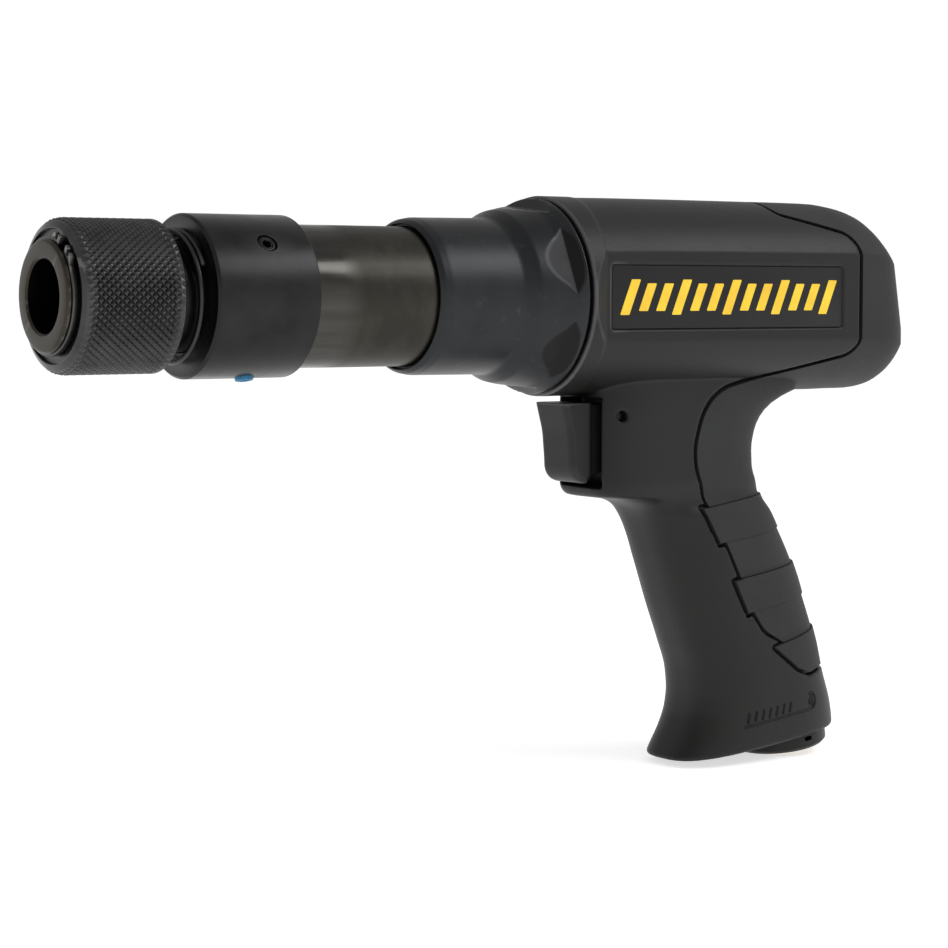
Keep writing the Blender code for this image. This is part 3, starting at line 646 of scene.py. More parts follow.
def softened(obj, mat, voxel=VOXEL, rounds=2):
    """Remeshes a combined solid evenly, lays it back on its own surface and eases its edges."""
    model = obj.copy()
    model.data = obj.data.copy()
    bpy.context.scene.collection.objects.link(model)
    step = obj.modifiers.new("even", "REMESH")
    step.mode = "VOXEL"
    step.voxel_size = voxel
    settle(obj)
    step = obj.modifiers.new("lay", "SHRINKWRAP")
    step.wrap_method = "NEAREST_SURFACEPOINT"
    step.target = model
    step = obj.modifiers.new("ease", "SMOOTH")
    step.factor = 0.5
    step.iterations = rounds
    settle(obj)
    bpy.data.objects.remove(model)
    return dress(obj, mat, 180.0)


def finish_piece(obj, body, slot, *nodes):
    """Puts a finished piece on its body and hides the CAD nodes that it stands for; slot is not used.
    """
    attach(obj, body)
    if nodes:
        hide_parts(*nodes)
    return obj


# ---------------------------------------------------------------- retainer

def nose_ring(mat):
    profile = [
        (0.55, 9.5), (0, 10.05, 0.12), (0, NOSE_R, 1.0), (1.2, NOSE_R, 0.2), (1.2, 13.5),
        (2.6, 13.5), (2.6, NOSE_R, 0.2), (44, NOSE_R), (44, 13.85), (63.7, 13.85, 0.5),
        (63.7, 8.2, 0.3), (13, 8.2), (11.5, 9.5),
    ]
    tube = turned("nose_ring", profile, mat)
    for angle in (90.0, 210.0, 330.0):
        cut(tube, rod("hole", around(20, 4, angle), around(20, 18, angle), 3.66, mat))
    dress(tube, mat)
    return finish_piece(tube, "barrel", "barrel_steel", "nose_tube")


def clip_outline():
    """The clip's corners as (degrees past the middle of its gap, radius), once round."""
    ear = [(6.5, 16.9), (8.0, CLIP_EAR_R), (15.0, CLIP_EAR_R - 0.1), (19.5, 16.7), (24, CLIP_R)]
    outer = [(24 + 312 * k / 90, CLIP_R) for k in range(1, 90)]
    far_ear = [(360 - a, r) for a, r in reversed(ear)]
    inner_r = 13.75
    inner = [(6.5, 14.6), (9.0, 14.1)] + [(12 + 336 * k / 90, inner_r) for k in range(91)]
    inner += [(351.0, 14.1), (353.5, 14.6)]
    return ear + outer + far_ear + list(reversed(inner))


def snap_ring(mat):
    """An open clip with two eared ends, a plier hole in each."""
    line = clip_outline()
    points = [around(s, r, CLIP_GAP_ANGLE + a) for s in (CLIP_FRONT, CLIP_REAR) for a, r in line]
    clip = build("snap_ring_visual", points, prism_faces(len(line)), mat)
    for angle in (CLIP_GAP_ANGLE + 13.0, CLIP_GAP_ANGLE - 13.0):
        start, end = around(CLIP_FRONT - 1, 16.1, angle), around(CLIP_REAR + 1, 16.1, angle)
        cut(clip, rod("hole", start, end, 0.85, mat, 20))
    dress(bevelled(clip, 0.14, 40), mat)
    return finish_piece(clip, "barrel", "black_oxide_steel", "snap_ring")


def knurl_limit(station):
    """Outer radius allowed at a station: the sleeve's front edge is rounded over."""
    return min(SLEEVE_R, SLEEVE_R - 0.9 + 0.6 * (station - SLEEVE_FRONT - 0.75))


def knurl_lattice(first, last):
    """Diamond pyramids with small flat tips, as points and faces with the two edge rows.

    Row k has 2 * KNURLS_ROUND spots. Where k plus the spot is even there is a tip, otherwise
    the bottom of a groove crossing.
    """
    rows = int((last - first) / (KNURL_PITCH / 2))
    spots = 2 * KNURLS_ROUND
    degrees = 360.0 / spots
    flat = 0.24
    points, low = [], []
    for k in range(rows + 1):
        station = first + (last - first) * k / rows
        fade = min(1.0, 2.0 * min(k, rows - k) / 4)
        radius = knurl_limit(station) - KNURL_DEPTH * fade
        low.append(range(len(points), len(points) + spots))
        points += [around(station, radius, degrees * i) for i in range(spots)]
    step = (last - first) / rows
    faces = []
    for k in range(rows + 1):
        for i in range(k % 2, spots, 2):
            left, right = low[k][i - 1], low[k][(i + 1) % spots]
            middle = low[k][i]
            if k in (0, rows):
                inner = low[1][i] if k == 0 else low[rows - 1][i]
                faces += [[left, middle, inner], [middle, right, inner]]
                continue
            station = first + step * k
            corners = (low[k - 1][i], right, low[k + 1][i], left)
            moves = ((-step, 0), (0, degrees), (step, 0), (0, -degrees))
            tops = []
            for ds, da in moves:
                tops.append(len(points))
                top = knurl_limit(station)
                points.append(around(station + ds * flat, top, degrees * i + da * flat))
            for a in range(4):
                b = (a + 1) % 4
                faces.append([corners[a], corners[b], tops[b], tops[a]])
            faces.append(tops)
    return points, faces, list(low[0]), list(low[rows])


def knurled_sleeve(mat):
    front, rear, spots = SLEEVE_FRONT, SLEEVE_REAR, 2 * KNURLS_ROUND
    points, faces, first_row, last_row = knurl_lattice(front + 0.75, rear - 0.6)
    start = points[first_row[0]]
    edge_r = math.hypot(start.y * 1000, start.z * 1000 - AXIS_Z)
    plain = fillet([
        (front + 0.75, edge_r), (front + 0.45, 18.5, 0.6), (front, 17.5, 0.3),
        (front, 17.2), (front + 0.9, 16.9), (front + 0.9, 14.8), (9.5, 14.8), (11.5, 17.0),
        (15.5, 17.0), (21.5, 14.8), (24.0, 14.8), (24.0, 18.3), (rear, 18.3, 0.15),
        (rear, SLEEVE_R - 0.75, 0.2), (rear - 0.6, SLEEVE_R - 0.02),
    ], 4)[1:-1]
    rows = [first_row]
    for station, radius in plain:
        rows.append(list(range(len(points), len(points) + spots)))
        points += [around(station, radius, 360.0 * i / spots) for i in range(spots)]
    rows.append(last_row)
    faces += grid_faces(rows)
    sleeve = build("knurled_sleeve_visual", points, faces, mat, 14.0)
    return finish_piece(sleeve, "sleeve", "black_oxide_steel", "knurled_sleeve")


def coil(name, base, path, mean, wire, mat, sides=14):
    """Round wire along a helix about X; path gives (turn in degrees, distance along) pairs."""
    rings = []
    for degrees, along in path:
        phase = math.radians(degrees)
        out = Vector((0, -math.cos(phase), math.sin(phase)))
        centre = out * mean + Vector((along, 0, 0))
        ring = []
        for i in range(sides):
            t = 2 * math.pi * i / sides
            point = centre + wire * (out * math.cos(t) + Vector((math.sin(t), 0, 0)))
            ring.append(base + point / 1000)
        rings.append(ring)
    return loft(name, rings, mat, 60.0)


def spring_path(length, wire, turns, steps=48):
    """A helix with one closed turn at each end, as (turn in degrees, distance along) pairs."""
    closed = 2 * wire + 0.12
    middle = length - 2 * wire - 2 * closed
    path = []
    for k in range(int(turns * steps) + 1):
        turn = k / steps
        rest = turns - turn
        if turn < 1:
            along = wire + closed * turn
        elif rest < 1:
            along = length - wire - closed * rest
        else:
            share = (turn - 1) / (turns - 2)
            eased = share - 0.09 * math.sin(2 * math.pi * share) / math.pi
            along = wire + closed + middle * eased
        path.append((360 * turn, along))
    return path


def pressed(spring, anchor):
    """Gives a spring its own copy of its mesh; anchor is not used."""
    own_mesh(spring)
    return spring


def sleeve_spring(mat):
    """Ends on the visible side, a little above the axis, against the collar."""
    wire, turns, last_angle = 0.8, 3.6, 21
    length = SPRING_REAR - SPRING_FRONT
    path = [(last_angle + turns * 360 - a, along) for a, along in spring_path(length, wire, turns)]
    spring = coil("sleeve_spring_visual", place(SPRING_FRONT, 0, 0), path, SPRING_R - 0.85, wire,
                  mat)
    finish_piece(spring, "barrel", "black_oxide_steel", "sleeve_spring")
    return pressed(spring, place(SPRING_REAR, 0, 0))


def inner_spring(node, first, last, height, mean, wire, turns, slot, mat):
    """A spring inside the handle, between two stations."""
    path = spring_path(last - first, wire, turns)
    spring = coil(f"{node}_visual", place(first, 0, height), path, mean, wire, mat)
    return finish_piece(spring, "handle", slot, node)


def damper_spring(mat):
    """Behind the barrel, which pushes its front end back."""
    first, last = 212.4, 237.7
    spring = inner_spring("damper_spring", first, last, 0, 13.5, 1.55, 4.5, "black_oxide_steel",
                          mat)
    return pressed(spring, place(last, 0, 0))


def throttle_spring(mat):
    """Behind the throttle stem, which pushes its front end back."""
    first, last, height = 190.4, 205.1, THROTTLE_HEIGHT
    spring = inner_spring("throttle_spring", first, last, height, 4.0, 0.47, 6, "bright_steel",
                          mat)
    return pressed(spring, place(last, 0, height))


def collar(mat):
    profile = [
        (COLLAR_FRONT, 14.8), (COLLAR_FRONT, COLLAR_R - 0.7, 0.3), (COLLAR_FRONT + 0.7, COLLAR_R, 0.4),
        (COLLAR_REAR, COLLAR_R, 0.45), (COLLAR_REAR, 18.1), (44.3, 18.1), (44.3, 14.8),
    ]
    ring = turned("retainer_collar_visual", profile, mat)
    for angle in SCREW_ANGLES:
        base = around(SCREW_STATION, 0, angle)
        out = around(SCREW_STATION, 1, angle) - base
        cone = [(16, 0), (16, 2.75), (COLLAR_R - 0.25, 2.75), (COLLAR_R + 0.6, 3.35),
                (COLLAR_R + 3, 3.35), (COLLAR_R + 3, 0)]
        cut(ring, turned_on("hole", cone, mat, base, out, 40))
    dress(ring, mat)
    return finish_piece(ring, "barrel", "black_oxide_steel", "retainer_collar")


def set_screws(mat, blue):
    """Socket set screws; the lowest stands out a little and shows its locking patch."""
    for number, angle in enumerate(SCREW_ANGLES, 1):
        top = 22.5 if number == 3 else 21.3
        base = around(SCREW_STATION, 0, angle)
        out = around(SCREW_STATION, 1, angle) - base
        profile = [(17.3, 0), (17.3, SCREW_R - 0.6), (17.9, SCREW_R), (top, SCREW_R, 0.4),
                   (top, 1.75), (top - 0.3, 1.5), (top - 0.35, 0)]
        finish = blue if number == 3 else mat
        screw = turned_on(f"set_screw_{number}_visual", profile, finish, base, out, 36)
        socket = turned_on("socket", [(top - 2.2, 0), (top - 2.2, 1.42), (top + 1, 1.42),
                                      (top + 1, 0)], finish, base, out, 6)
        cut(screw, socket)
        dress(screw, finish)
        slot = "thread_lock" if number == 3 else "black_oxide_steel"
        finish_piece(screw, "barrel", slot, f"set_screw_{number}")


# ---------------------------------------------------------------- barrel and nut

def barrel(mat):
    profile = [
        (BARREL_FRONT, 14.0), (64, 14.0), (64, 8.2), (84, 8.2), (84, 10.0), (186, 10.0),
        (186, 15.5), (BARREL_REAR, 15.5), (BARREL_REAR, BARREL_R), (203.4, BARREL_R),
        (203.4, 18.1), (200.6, 18.1), (200.6, BARREL_R), (COLLAR_REAR + 0.3, BARREL_R, 0.3),
        (COLLAR_REAR + 0.3, 17.9), (BARREL_FRONT, 17.9),
    ]
    tube = turned("cylinder_barrel_visual", profile, mat)
    return finish_piece(tube, "barrel", "barrel_steel", "cylinder_barrel")


def flat_cutter(angle, mat):
    """A block that leaves one wrench flat, with a 45 degree wall at its rear end."""
    rings = []
    for station in (134.0, FLAT_WALL):
        ring = []
        for out, across in ((0, -15), (0, 15), (8, 15), (8, -15)):
            turn = math.radians(angle)
            lean = out if station == FLAT_WALL else 0.0
            radius = FLAT_DISTANCE + out
            side = -radius * math.cos(turn) + across * math.sin(turn)
            height = radius * math.sin(turn) + across * math.cos(turn)
            ring.append(place(station + lean, side, height))
        rings.append(ring)
    return loft("flat", rings, mat)


def front_nut(mat):
    profile = [
        (NUT_FRONT, 19.9), (NUT_FRONT, 20.4, 0.3), (NUT_FRONT + 1.2, 21.3, 0.5),
        (110.6, 21.75, 2.0), (134.2, 21.95, 4.0), (138.2, 24.3, 2.6), (146.5, 26.0, 6.0),
        (150.6, 27.7, 2.0), (NUT_REAR - 0.5, NUT_RIM_R, 0.3), (NUT_REAR, NUT_RIM_R - 0.7),
        (NUT_REAR, 23.7), (NUT_THREAD_END, 23.7), (NUT_THREAD_END, 22.2), (140, 22.2),
        (140, 19.6), (111.3, 19.6), (111.3, 21.0), (108.2, 21.0), (108.2, 19.9),
    ]
    nut = turned("front_nut_visual", profile, mat)
    for k in range(6):
        cut(nut, flat_cutter(FLAT_FIRST_ANGLE + 60 * k, mat))
    softened(nut, mat, 0.00045, 1)
    return finish_piece(nut, "handle", "black_oxide_steel", "front_nut")


def wiper_seal(mat):
    profile = [(108.5, 19.35, 0.1), (108.5, 20.8), (111.0, 20.8), (111.0, 19.35, 0.1),
               (109.75, 19.27)]
    return finish_piece(turned("wiper_seal_visual", profile, mat), "handle", "seal_rubber",
                        "wiper_seal")


# ---------------------------------------------------------------- handle surfaces

# Front and rear edges of the handle seen from the side, as (height, station)
HANDLE_FRONT = (
    (-18, 169.3), (-50, 169.4), (-56.0, 169.6), (-57.4, 170.2), (-58.2, 171.5), (-58.6, 175),
    (-59.1, 179.5), (-60.3, 184.6), (-62.9, 188.5), (-67, 191.3), (-79, 196.0), (-92, 200.6),
    (-104, 205.3), (-113, 208.4), (-118, 208.9), (-123, 208.0), (-128, 205.4), (-131, 203.2),
    (-134, 200.9), (-139.6, 199.4),
)
HANDLE_REAR = (
    (-18, 246), (-27.5, 246), (-29.2, 241.8), (-31.3, 236.6), (-35.6, 231.0), (-40, 228.5),
    (-45.5, 227.4), (-50, 227.7), (-55, 229.5), (-60, 233.0), (-67.7, 238.5), (-79.3, 245),
    (-92, 250.6), (-104.3, 255.3), (-117, 259.1), (-128, 262.6), (-139.6, 264.5),
)
HANDLE_HALF = (
    (-18, 15.2), (-54, 15.2), (-59.5, 13.8), (-65, 15.7), (-80, 17.0), (-112, 17.0),
    (-139.6, 16.4),
)
HANDLE_SQUARE = (
    (-18, 5.0), (-55, 5.0), (-62, 3.4), (-75, 2.9), (-127, 2.9), (-139.6, 3.1),
)
# The foot's underside leans less than the inlet that it carries
FOOT_TILT = 6.0
BODY_SECTIONS = (
    (168, 28.4, 25.6, 0, 0), (176, 28.5, 25.6, 0, 0), (200, 28.6, 25.6, 0, 0),
    (238, 28.6, 25.6, 0, 0), (255, 28.6, 25.5, 0.1, 0.1), (264, 28.2, 25.2, 0.4, 0.35),
    (271, 27.6, 24.6, 1.0, 0.6), (275.6, 26.2, 23.0, 1.9, 0.8), (278.7, 23.4, 20.3, 2.9, 0.9),
    (280.5, 18.0, 15.2, 3.6, 1.0), (281.0, 10.0, 8.6, 4.0, 1.0),
)
REAR_LEAN = 0.19


def smooth_curve(pairs, at):
    """A cubic through (x, y) pairs that doesn't swing past them."""
    x, y = np.array(sorted(pairs), float).T
    width = np.diff(x)
    slope = np.diff(y) / width
    tangent = np.concatenate([slope[:1], np.zeros(len(x) - 2), slope[-1:]])
    for k in range(1, len(x) - 1):
        before, after = slope[k - 1], slope[k]
        if before * after > 0:
            tangent[k] = 2 * before * after / (before + after)
    k = int(np.clip(np.searchsorted(x, at) - 1, 0, len(width) - 1))
    t = (at - x[k]) / width[k]
    rise = (2 * t ** 3 - 3 * t ** 2 + 1) * y[k] + (3 * t ** 2 - 2 * t ** 3) * y[k + 1]
    swing = (t ** 3 - 2 * t ** 2 + t) * tangent[k] + (t ** 3 - t ** 2) * tangent[k + 1]
    return float(rise + width[k] * swing)


def handle_ring(level, lean, inset, count=88):
    """One rounded section of the handle; lean tips it so that its rear is higher."""
    front = smooth_curve(HANDLE_FRONT, level) + inset
    rear = smooth_curve(HANDLE_REAR, level) - inset
    half = smooth_curve(HANDLE_HALF, level) - inset
    middle, reach = (front + rear) / 2, (rear - front) / 2
    power = 2 / smooth_curve(HANDLE_SQUARE, level)
    ring = []
    for i in range(count):
        t = 2 * math.pi * i / count
        c, s = math.cos(t), math.sin(t)
        station = middle + reach * math.copysign(abs(c) ** power, c)
        side = half * math.copysign(abs(s) ** power, s)
        ring.append(place(station, side, level + lean * (station - middle)))
    return ring


def handle_levels():
    """Heights of the handle's sections, closer together where it turns quickly."""
    upper = list(np.arange(-20.0, -50.0, -2.0))
    lip = list(np.arange(-50.0, -66.0, -0.4))
    lower = list(np.arange(-66.0, -133.0, -1.6))
    return upper + lip + lower


def handle_solid(name, inset, mat):
    """The whole handle. Inset is a number, or a curve of (height, inset) pairs."""
    slope = math.tan(math.radians(FOOT_TILT))
    pairs = inset if isinstance(inset, tuple) else ((-140, inset), (-18, inset))
    rings = []
    for level in handle_levels():
        lean = slope * min(1.0, max(0.0, (-level - 112) / 20))
        here = float(np.interp(level, *np.array(sorted(pairs), float).T))
        rings.append(handle_ring(level, lean, here))
    if inset == 0:
        for drop, shrink in ((-134.5, 0.1), (-135.1, 0.4), (-135.4, 0.9), (-135.5, 1.5)):
            rings.append(handle_ring(drop, slope, shrink))
    return loft(name, rings, mat)


def body_turns():
    """Angles round the body in radians, with one on each edge of its side flats."""
    crease = math.acos(SIDE_FLAT / BODY_R)
    flat = [crease * k / 8 for k in range(-8, 8)]
    arc = [crease + (math.pi - 2 * crease) * k / 44 for k in range(44)]
    half = flat + arc
    return half + [t + math.pi for t in half]


def front_rings():
    """The round band at the housing's mouth, and the ramps from it down to the side flats.

    The band's rear edge runs forward over each flat, as the ramp cuts deeper there, and
    rearward towards the top and bottom.
    """
    rings = []
    for station, radius in ((153.4, 28.1), (153.5, 28.4), (153.7, BODY_R)):
        rings.append([around(station, radius, math.degrees(t)) for t in body_turns()])
    edge, foot = [], []
    for t in body_turns():
        across, height = abs(BODY_R * math.cos(t)), abs(BODY_R * math.sin(t))
        if across > SIDE_FLAT:
            station = 159.2 - 5.2 * (across - SIDE_FLAT) / (BODY_R - SIDE_FLAT)
            low, behind = SIDE_FLAT, 159.5
        else:
            station = 159.2 + 5.6 * (1 - across / SIDE_FLAT)
            low, behind = across * 0.992, station + 0.3
        angle = math.degrees(t)
        edge.append(around(station, BODY_R, angle))
        turn = math.copysign(1, -math.cos(t))
        shrink = 1.0 if across > SIDE_FLAT else 0.992
        foot.append(place(behind, turn * low, math.copysign(height * shrink, math.sin(t))))
    return rings + [edge, foot]


def body_ring(section, inset):
    station, radius, flat, drop, lean = section
    station -= inset if station > 262 else 0.0
    radius, flat = radius - inset, flat - inset
    ring = []
    for t in body_turns():
        side = max(-flat, min(flat, -radius * math.cos(t)))
        height = radius * math.sin(t) - drop
        back = lean * REAR_LEAN * max(0.0, height + 10)
        ring.append(place(station - back, side, height))
    return ring


def body_sections():
    """The listed sections, with smooth ones between them over the rounded rear."""
    straight = [s for s in BODY_SECTIONS if s[0] < 238]
    tail = np.array([s for s in BODY_SECTIONS if s[0] >= 200])
    # equal steps of angle round the tail, so that its last turn is as smooth as its first
    stations = [200 + 81 * math.sin(math.pi / 2 * k / 26) for k in range(27)]
    curves = [[(row[0], row[c]) for row in tail] for c in range(1, 5)]
    rounded = [(s, *(smooth_curve(c, s) for c in curves)) for s in stations if s > 238]
    return straight + rounded


def body_solid(name, inset, mat):
    rings = [] if inset else front_rings()
    rings += [body_ring(section, inset) for section in body_sections()]
    return loft(name, rings, mat)


def outer_shape(name, inset, mat):
    return join(body_solid(name, inset, mat), handle_solid("handle", inset, mat))


# ---------------------------------------------------------------- rubber

# Laps of the rubber: each proud panel starts at a lap line and runs to a soft line.
# A line is (station, height) at its front, and its slope.
LAP_LINES = ((206.0, -62.4, 0.13), (217.0, -84.0, 0.14), (233.0, -104.9, 0.22))
SOFT_LINES = ((211.0, -72.7, 0.13), (221.5, -94.2, 0.16), (233.0, -130.0, 0.0))

RUBBER_EDGE = (
    (232.5, 34), (232.5, 25.0, 2.0), (257.6, 18.7, 7.0), (257.6, -17.5, 6.5),
    (206.0, -28.6, 16.0), (200.4, -47.5, 18.0), (207.4, -62.3), (204.4, -62.5),
    (210.0, -73.0), (212.2, -72.5), (218.0, -84.0), (215.5, -84.6), (220.8, -94.6),
    (222.8, -93.9), (227.2, -99.8, 9.0), (235.2, -104.4), (231.2, -105.4), (241.0, -112.5, 4.0),
    (246.0, -114.4, 3.0), (252.0, -112.9, 3.0), (300, -111.6),
)
PROUD = (
    (-57, -0.30), (-64, -0.30), (-75, 0.05), (-79, -0.30), (-86, -0.30), (-97, 0.05),
    (-98, -0.25), (-106, -0.25), (-116, 0.0),
)
SUNK = ((-48, 0.0), (-60, 0.30), (-118, 0.30))


def rubber_region(name, grow, mat):
    outline = fillet(list(RUBBER_EDGE) + [(300, 34)], 8)
    return slab(name, offset(outline, grow), -40, 40, mat)


def line_height(line, station):
    return line[1] + line[2] * (station - line[0])


def band_between(name, upper, lower, mat, side=40):
    """A slab across the grip between two sloping lines."""
    stations = (190.0, 275.0)
    outline = [(s, line_height(upper, s)) for s in stations]
    outline += [(s, line_height(lower, s)) for s in reversed(stations)]
    return slab(name, outline, -side, side, mat)


def lap_groove(line, mat):
    """The thin shadow line above a proud panel."""
    width = 0.22
    upper = (line[0], line[1] + width, line[2])
    groove = band_between("groove", upper, line, mat)
    return cut(groove, handle_solid("inside", 0.85, mat))


def rear_grip(mat):
    """The overmoulded rubber: rear cap, saddle and a lapped back on the grip."""
    skin = join(body_solid("rear_grip_visual", 0, mat), handle_solid("sunk", SUNK, mat))
    for upper, lower in zip(LAP_LINES, SOFT_LINES):
        panel = handle_solid("panel", PROUD, mat)
        combine(panel, band_between("band", upper, lower, mat), "INTERSECT")
        join(skin, panel)
    combine(skin, rubber_region("region", 0, mat), "INTERSECT")
    cut(skin, *(lap_groove(line, mat) for line in LAP_LINES))
    cut(skin, outer_shape("core", SKIN - 0.1, mat))
    dress(skin, mat, 28)
    return finish_piece(skin, "handle", "soft_rubber", "rear_grip")


# ---------------------------------------------------------------- housing

def housing_bore(mat):
    return turned("bore", [
        (150, 0), (150, 24.0), (178, 24.0), (178, 20.3), (262, 20.3), (262, 0),
    ], mat, 96)


def foot_cutters(mat):
    """Cutters for the well, the exhaust annulus and the seat of the deflector in the foot."""
    foot, up = inlet_frame()
    yield turned_on("well", [(-6, 0), (-6, 8.6), (32, 8.6), (32, 0)], mat, foot, up)
    yield turned_on("annulus", [(-6, 9.9), (-6, 13.2), (12, 13.2), (12, 9.9)], mat, foot, up)
    seat = DEFLECTOR_R + 0.3
    yield turned_on("seat", [(-6, 0), (-6, seat), (6.4, seat), (6.4, 0)], mat, foot, up)


def pocket_cutters(mat):
    """The trigger's pocket, its pin hole and the throttle's chamber."""
    outline = fillet([
        (140, POCKET_HIGH), (140, POCKET_LOW), (POCKET_BACK, POCKET_LOW, 3.0),
        (POCKET_BACK, POCKET_HIGH),
    ])
    yield slab("pocket", outline, -POCKET_HALF, POCKET_HALF, mat)
    yield rod("pin_hole", place(PIVOT[0], -20, PIVOT[1]), place(PIVOT[0], 20, PIVOT[1]), 1.6, mat)
    yield rod("chamber", place(170, 0, THROTTLE_HEIGHT), place(205.4, 0, THROTTLE_HEIGHT), 7.3, mat)


def badge_recess(side, mat):
    near, far = sorted((side * (SIDE_FLAT - BADGE_DEPTH), side * 32))
    outline = fillet([
        (BADGE_FROM, BADGE_LOW, 0.8), (BADGE_TO, BADGE_LOW, 0.8), (BADGE_TO, BADGE_HIGH, 0.8),
        (BADGE_FROM, BADGE_HIGH, 0.8),
    ])
    return slab("recess", outline, near, far, mat)


def housing(mat):
    shape = outer_shape("handle_housing_visual", 0, mat)
    cut(shape, rubber_region("region", 1.1, mat))
    join(shape, outer_shape("core", 1.9, mat))
    cut(shape, housing_bore(mat), *pocket_cutters(mat), *foot_cutters(mat))
    cut(shape, badge_recess(-1, mat), badge_recess(1, mat))
    softened(shape, mat)
    engrave(shape, foot_strokes())
    return finish_piece(shape, "handle", "black_composite", "handle_housing")


# ---------------------------------------------------------------- engraving

MARK_FROM, MARK_TO = (220.2, -126.4), (246.0, -123.2)
MARK_HALF = 2.5


def foot_strokes():
    """Strokes of the foot's mark: a long round-ended frame, hatching and an oil drop."""
    a, b = Vector(MARK_FROM), Vector(MARK_TO)
    way = (b - a).normalized()
    up = Vector((-way.y, way.x))
    frame_line = [a - up * MARK_HALF, b - up * MARK_HALF]
    for k in range(1, 12):
        turn = -math.pi / 2 + math.pi * k / 12
        frame_line.append(b + (way * math.cos(turn) + up * math.sin(turn)) * MARK_HALF)
    frame_line.append(b + up * MARK_HALF)
    strokes = [frame_line]
    for k in range(7):
        foot = a + way * (1.0 + 2.7 * k) - up * 1.1
        strokes.append([foot, foot + up * 2.2 + way * 0.7])
    drop = []
    for k in range(17):
        turn = 2 * math.pi * k / 16
        wide = 0.95 * math.sin(turn) * math.sin(turn / 2)
        drop.append(b + way * (0.4 + wide) + up * (1.35 * math.cos(turn)))
    return strokes + [drop]


def stroke_distance(point, strokes):
    """Distance from a side-view point to the nearest stroke."""
    nearest = 1e9
    for line in strokes:
        for p, q in zip(line, line[1:]):
            span = q - p
            t = max(0.0, min(1.0, (point - p).dot(span) / max(1e-9, span.length_squared)))
            nearest = min(nearest, (point - p - span * t).length)
    return nearest


def engrave(obj, strokes, half=0.36, depth=0.6):
    """Refines the foot's left side and sinks its points under the strokes."""
    work = bmesh.new()
    work.from_mesh(obj.data)
    low = place(MARK_FROM[0] - 4, 0, MARK_FROM[1] - 4)
    high = place(MARK_TO[0] + 5, 0, MARK_TO[1] + 4.5)

    def inside(point):
        return low.x < point.x < high.x and low.z < point.z < high.z and point.y < -0.008

    faces = [f for f in work.faces if inside(f.calc_center_median()) and f.normal.y < -0.5]
    edges = list({e for f in faces for e in f.edges})
    bmesh.ops.subdivide_edges(work, edges=edges, cuts=3, use_grid_fill=True)
    work.normal_update()
    moves = []
    for vert in work.verts:
        if not inside(vert.co) or vert.normal.y > -0.4:
            continue
        side_view = Vector((vert.co.x * 1000 - NOSE_X, vert.co.z * 1000 - AXIS_Z))
        away = stroke_distance(side_view, strokes)
        if away < half * 2:
            share = min(1.0, max(0.0, (half * 1.7 - away) / half))
            moves.append((vert, vert.normal * (-depth * share / 1000)))
    for vert, move in moves:
        vert.co += move
    work.to_mesh(obj.data)
    work.free()


# ---------------------------------------------------------------- badges

def badge(name, side, film, paint):
    """A printed plate: a row of slanted bars."""
    gap = 0.35
    face = side * (SIDE_FLAT - 0.45)
    near, far = sorted((side * (SIDE_FLAT - BADGE_DEPTH + 0.02), face))
    outline = fillet([
        (BADGE_FROM + gap, BADGE_LOW + gap, 0.6), (BADGE_TO - gap, BADGE_LOW + gap, 0.6),
        (BADGE_TO - gap, BADGE_HIGH - gap, 0.6), (BADGE_FROM + gap, BADGE_HIGH - gap, 0.6),
    ])
    plate = slab(f"{name}_plate", outline, near, far, film)
    dress(bevelled(plate, 0.1, 40), film)
    finish_piece(plate, "handle", "badge_film", name)
    low, high = sorted((face, face + side * 0.08))
    bars = []
    count, first, pitch = 13, BADGE_FROM + 5.2, 6.25
    for k in range(count):
        start = first + pitch * k
        tall = 3.9 if k % 3 else 5.0
        slant = -0.42 * side
        corners = [(start - tall * slant, -tall - 0.2), (start + 3.3 - tall * slant, -tall - 0.2),
                   (start + 3.3 + tall * slant, tall - 0.2), (start + tall * slant, tall - 0.2)]
        bars.append(slab("bar", fillet([(*c, 0.25) for c in corners], 3), low, high, paint))
    print_piece = merged(f"{name}_bars", bars, paint)
    return finish_piece(print_piece, "handle", "badge_film")


def merged(name, objects, mat):
    """One object holding several separate solids."""
    work = bmesh.new()
    for obj in objects:
        work.from_mesh(obj.data)
        bpy.data.objects.remove(obj)
    mesh = bpy.data.meshes.new(name)
    work.to_mesh(mesh)
    work.free()
    result = bpy.data.objects.new(name, mesh)
    bpy.context.scene.collection.objects.link(result)
    return dress(result, mat)


# ---------------------------------------------------------------- trigger

TRIGGER_BLADE = (
    (157.6, -24.0), (158.6, -30.4, 12.0), (160.9, -39.0, 20.0), (161.6, -47.0, 20.0),
    (161.9, -53.8, 5.0), (169.3, -53.8, 3.2), (169.3, -24.0),
)
TRIGGER_TOP = -30.5
TRIGGER_HALF = 7.7


def trigger(mat):
    """A finger blade with rounded edges, cut flat on top, on a web that reaches the pin."""
    lever = pillow("trigger_visual", fillet(TRIGGER_BLADE, 8), TRIGGER_HALF, 2.0, mat)
    cut(lever, block("top", (140, -20, TRIGGER_TOP), (172, 20, -10), mat))
    web = fillet([
        (165, -31), (165, -51.5), (172.4, -51.0, 1.5), (172.4, -39.4, 0.8),
        (PIVOT[0] + 3.2, -37.8, 2.4), (PIVOT[0] + 3.2, -31.0, 2.6),
    ])
    join(lever, slab("web", web, -7.0, 7.0, mat))
    cut(lever, rod("hole", place(PIVOT[0], -12, PIVOT[1]), place(PIVOT[0], 12, PIVOT[1]), 1.57,
                   mat))
    softened(lever, mat, 0.0004, 2)
    return finish_piece(lever, "trigger", "black_composite", "trigger")


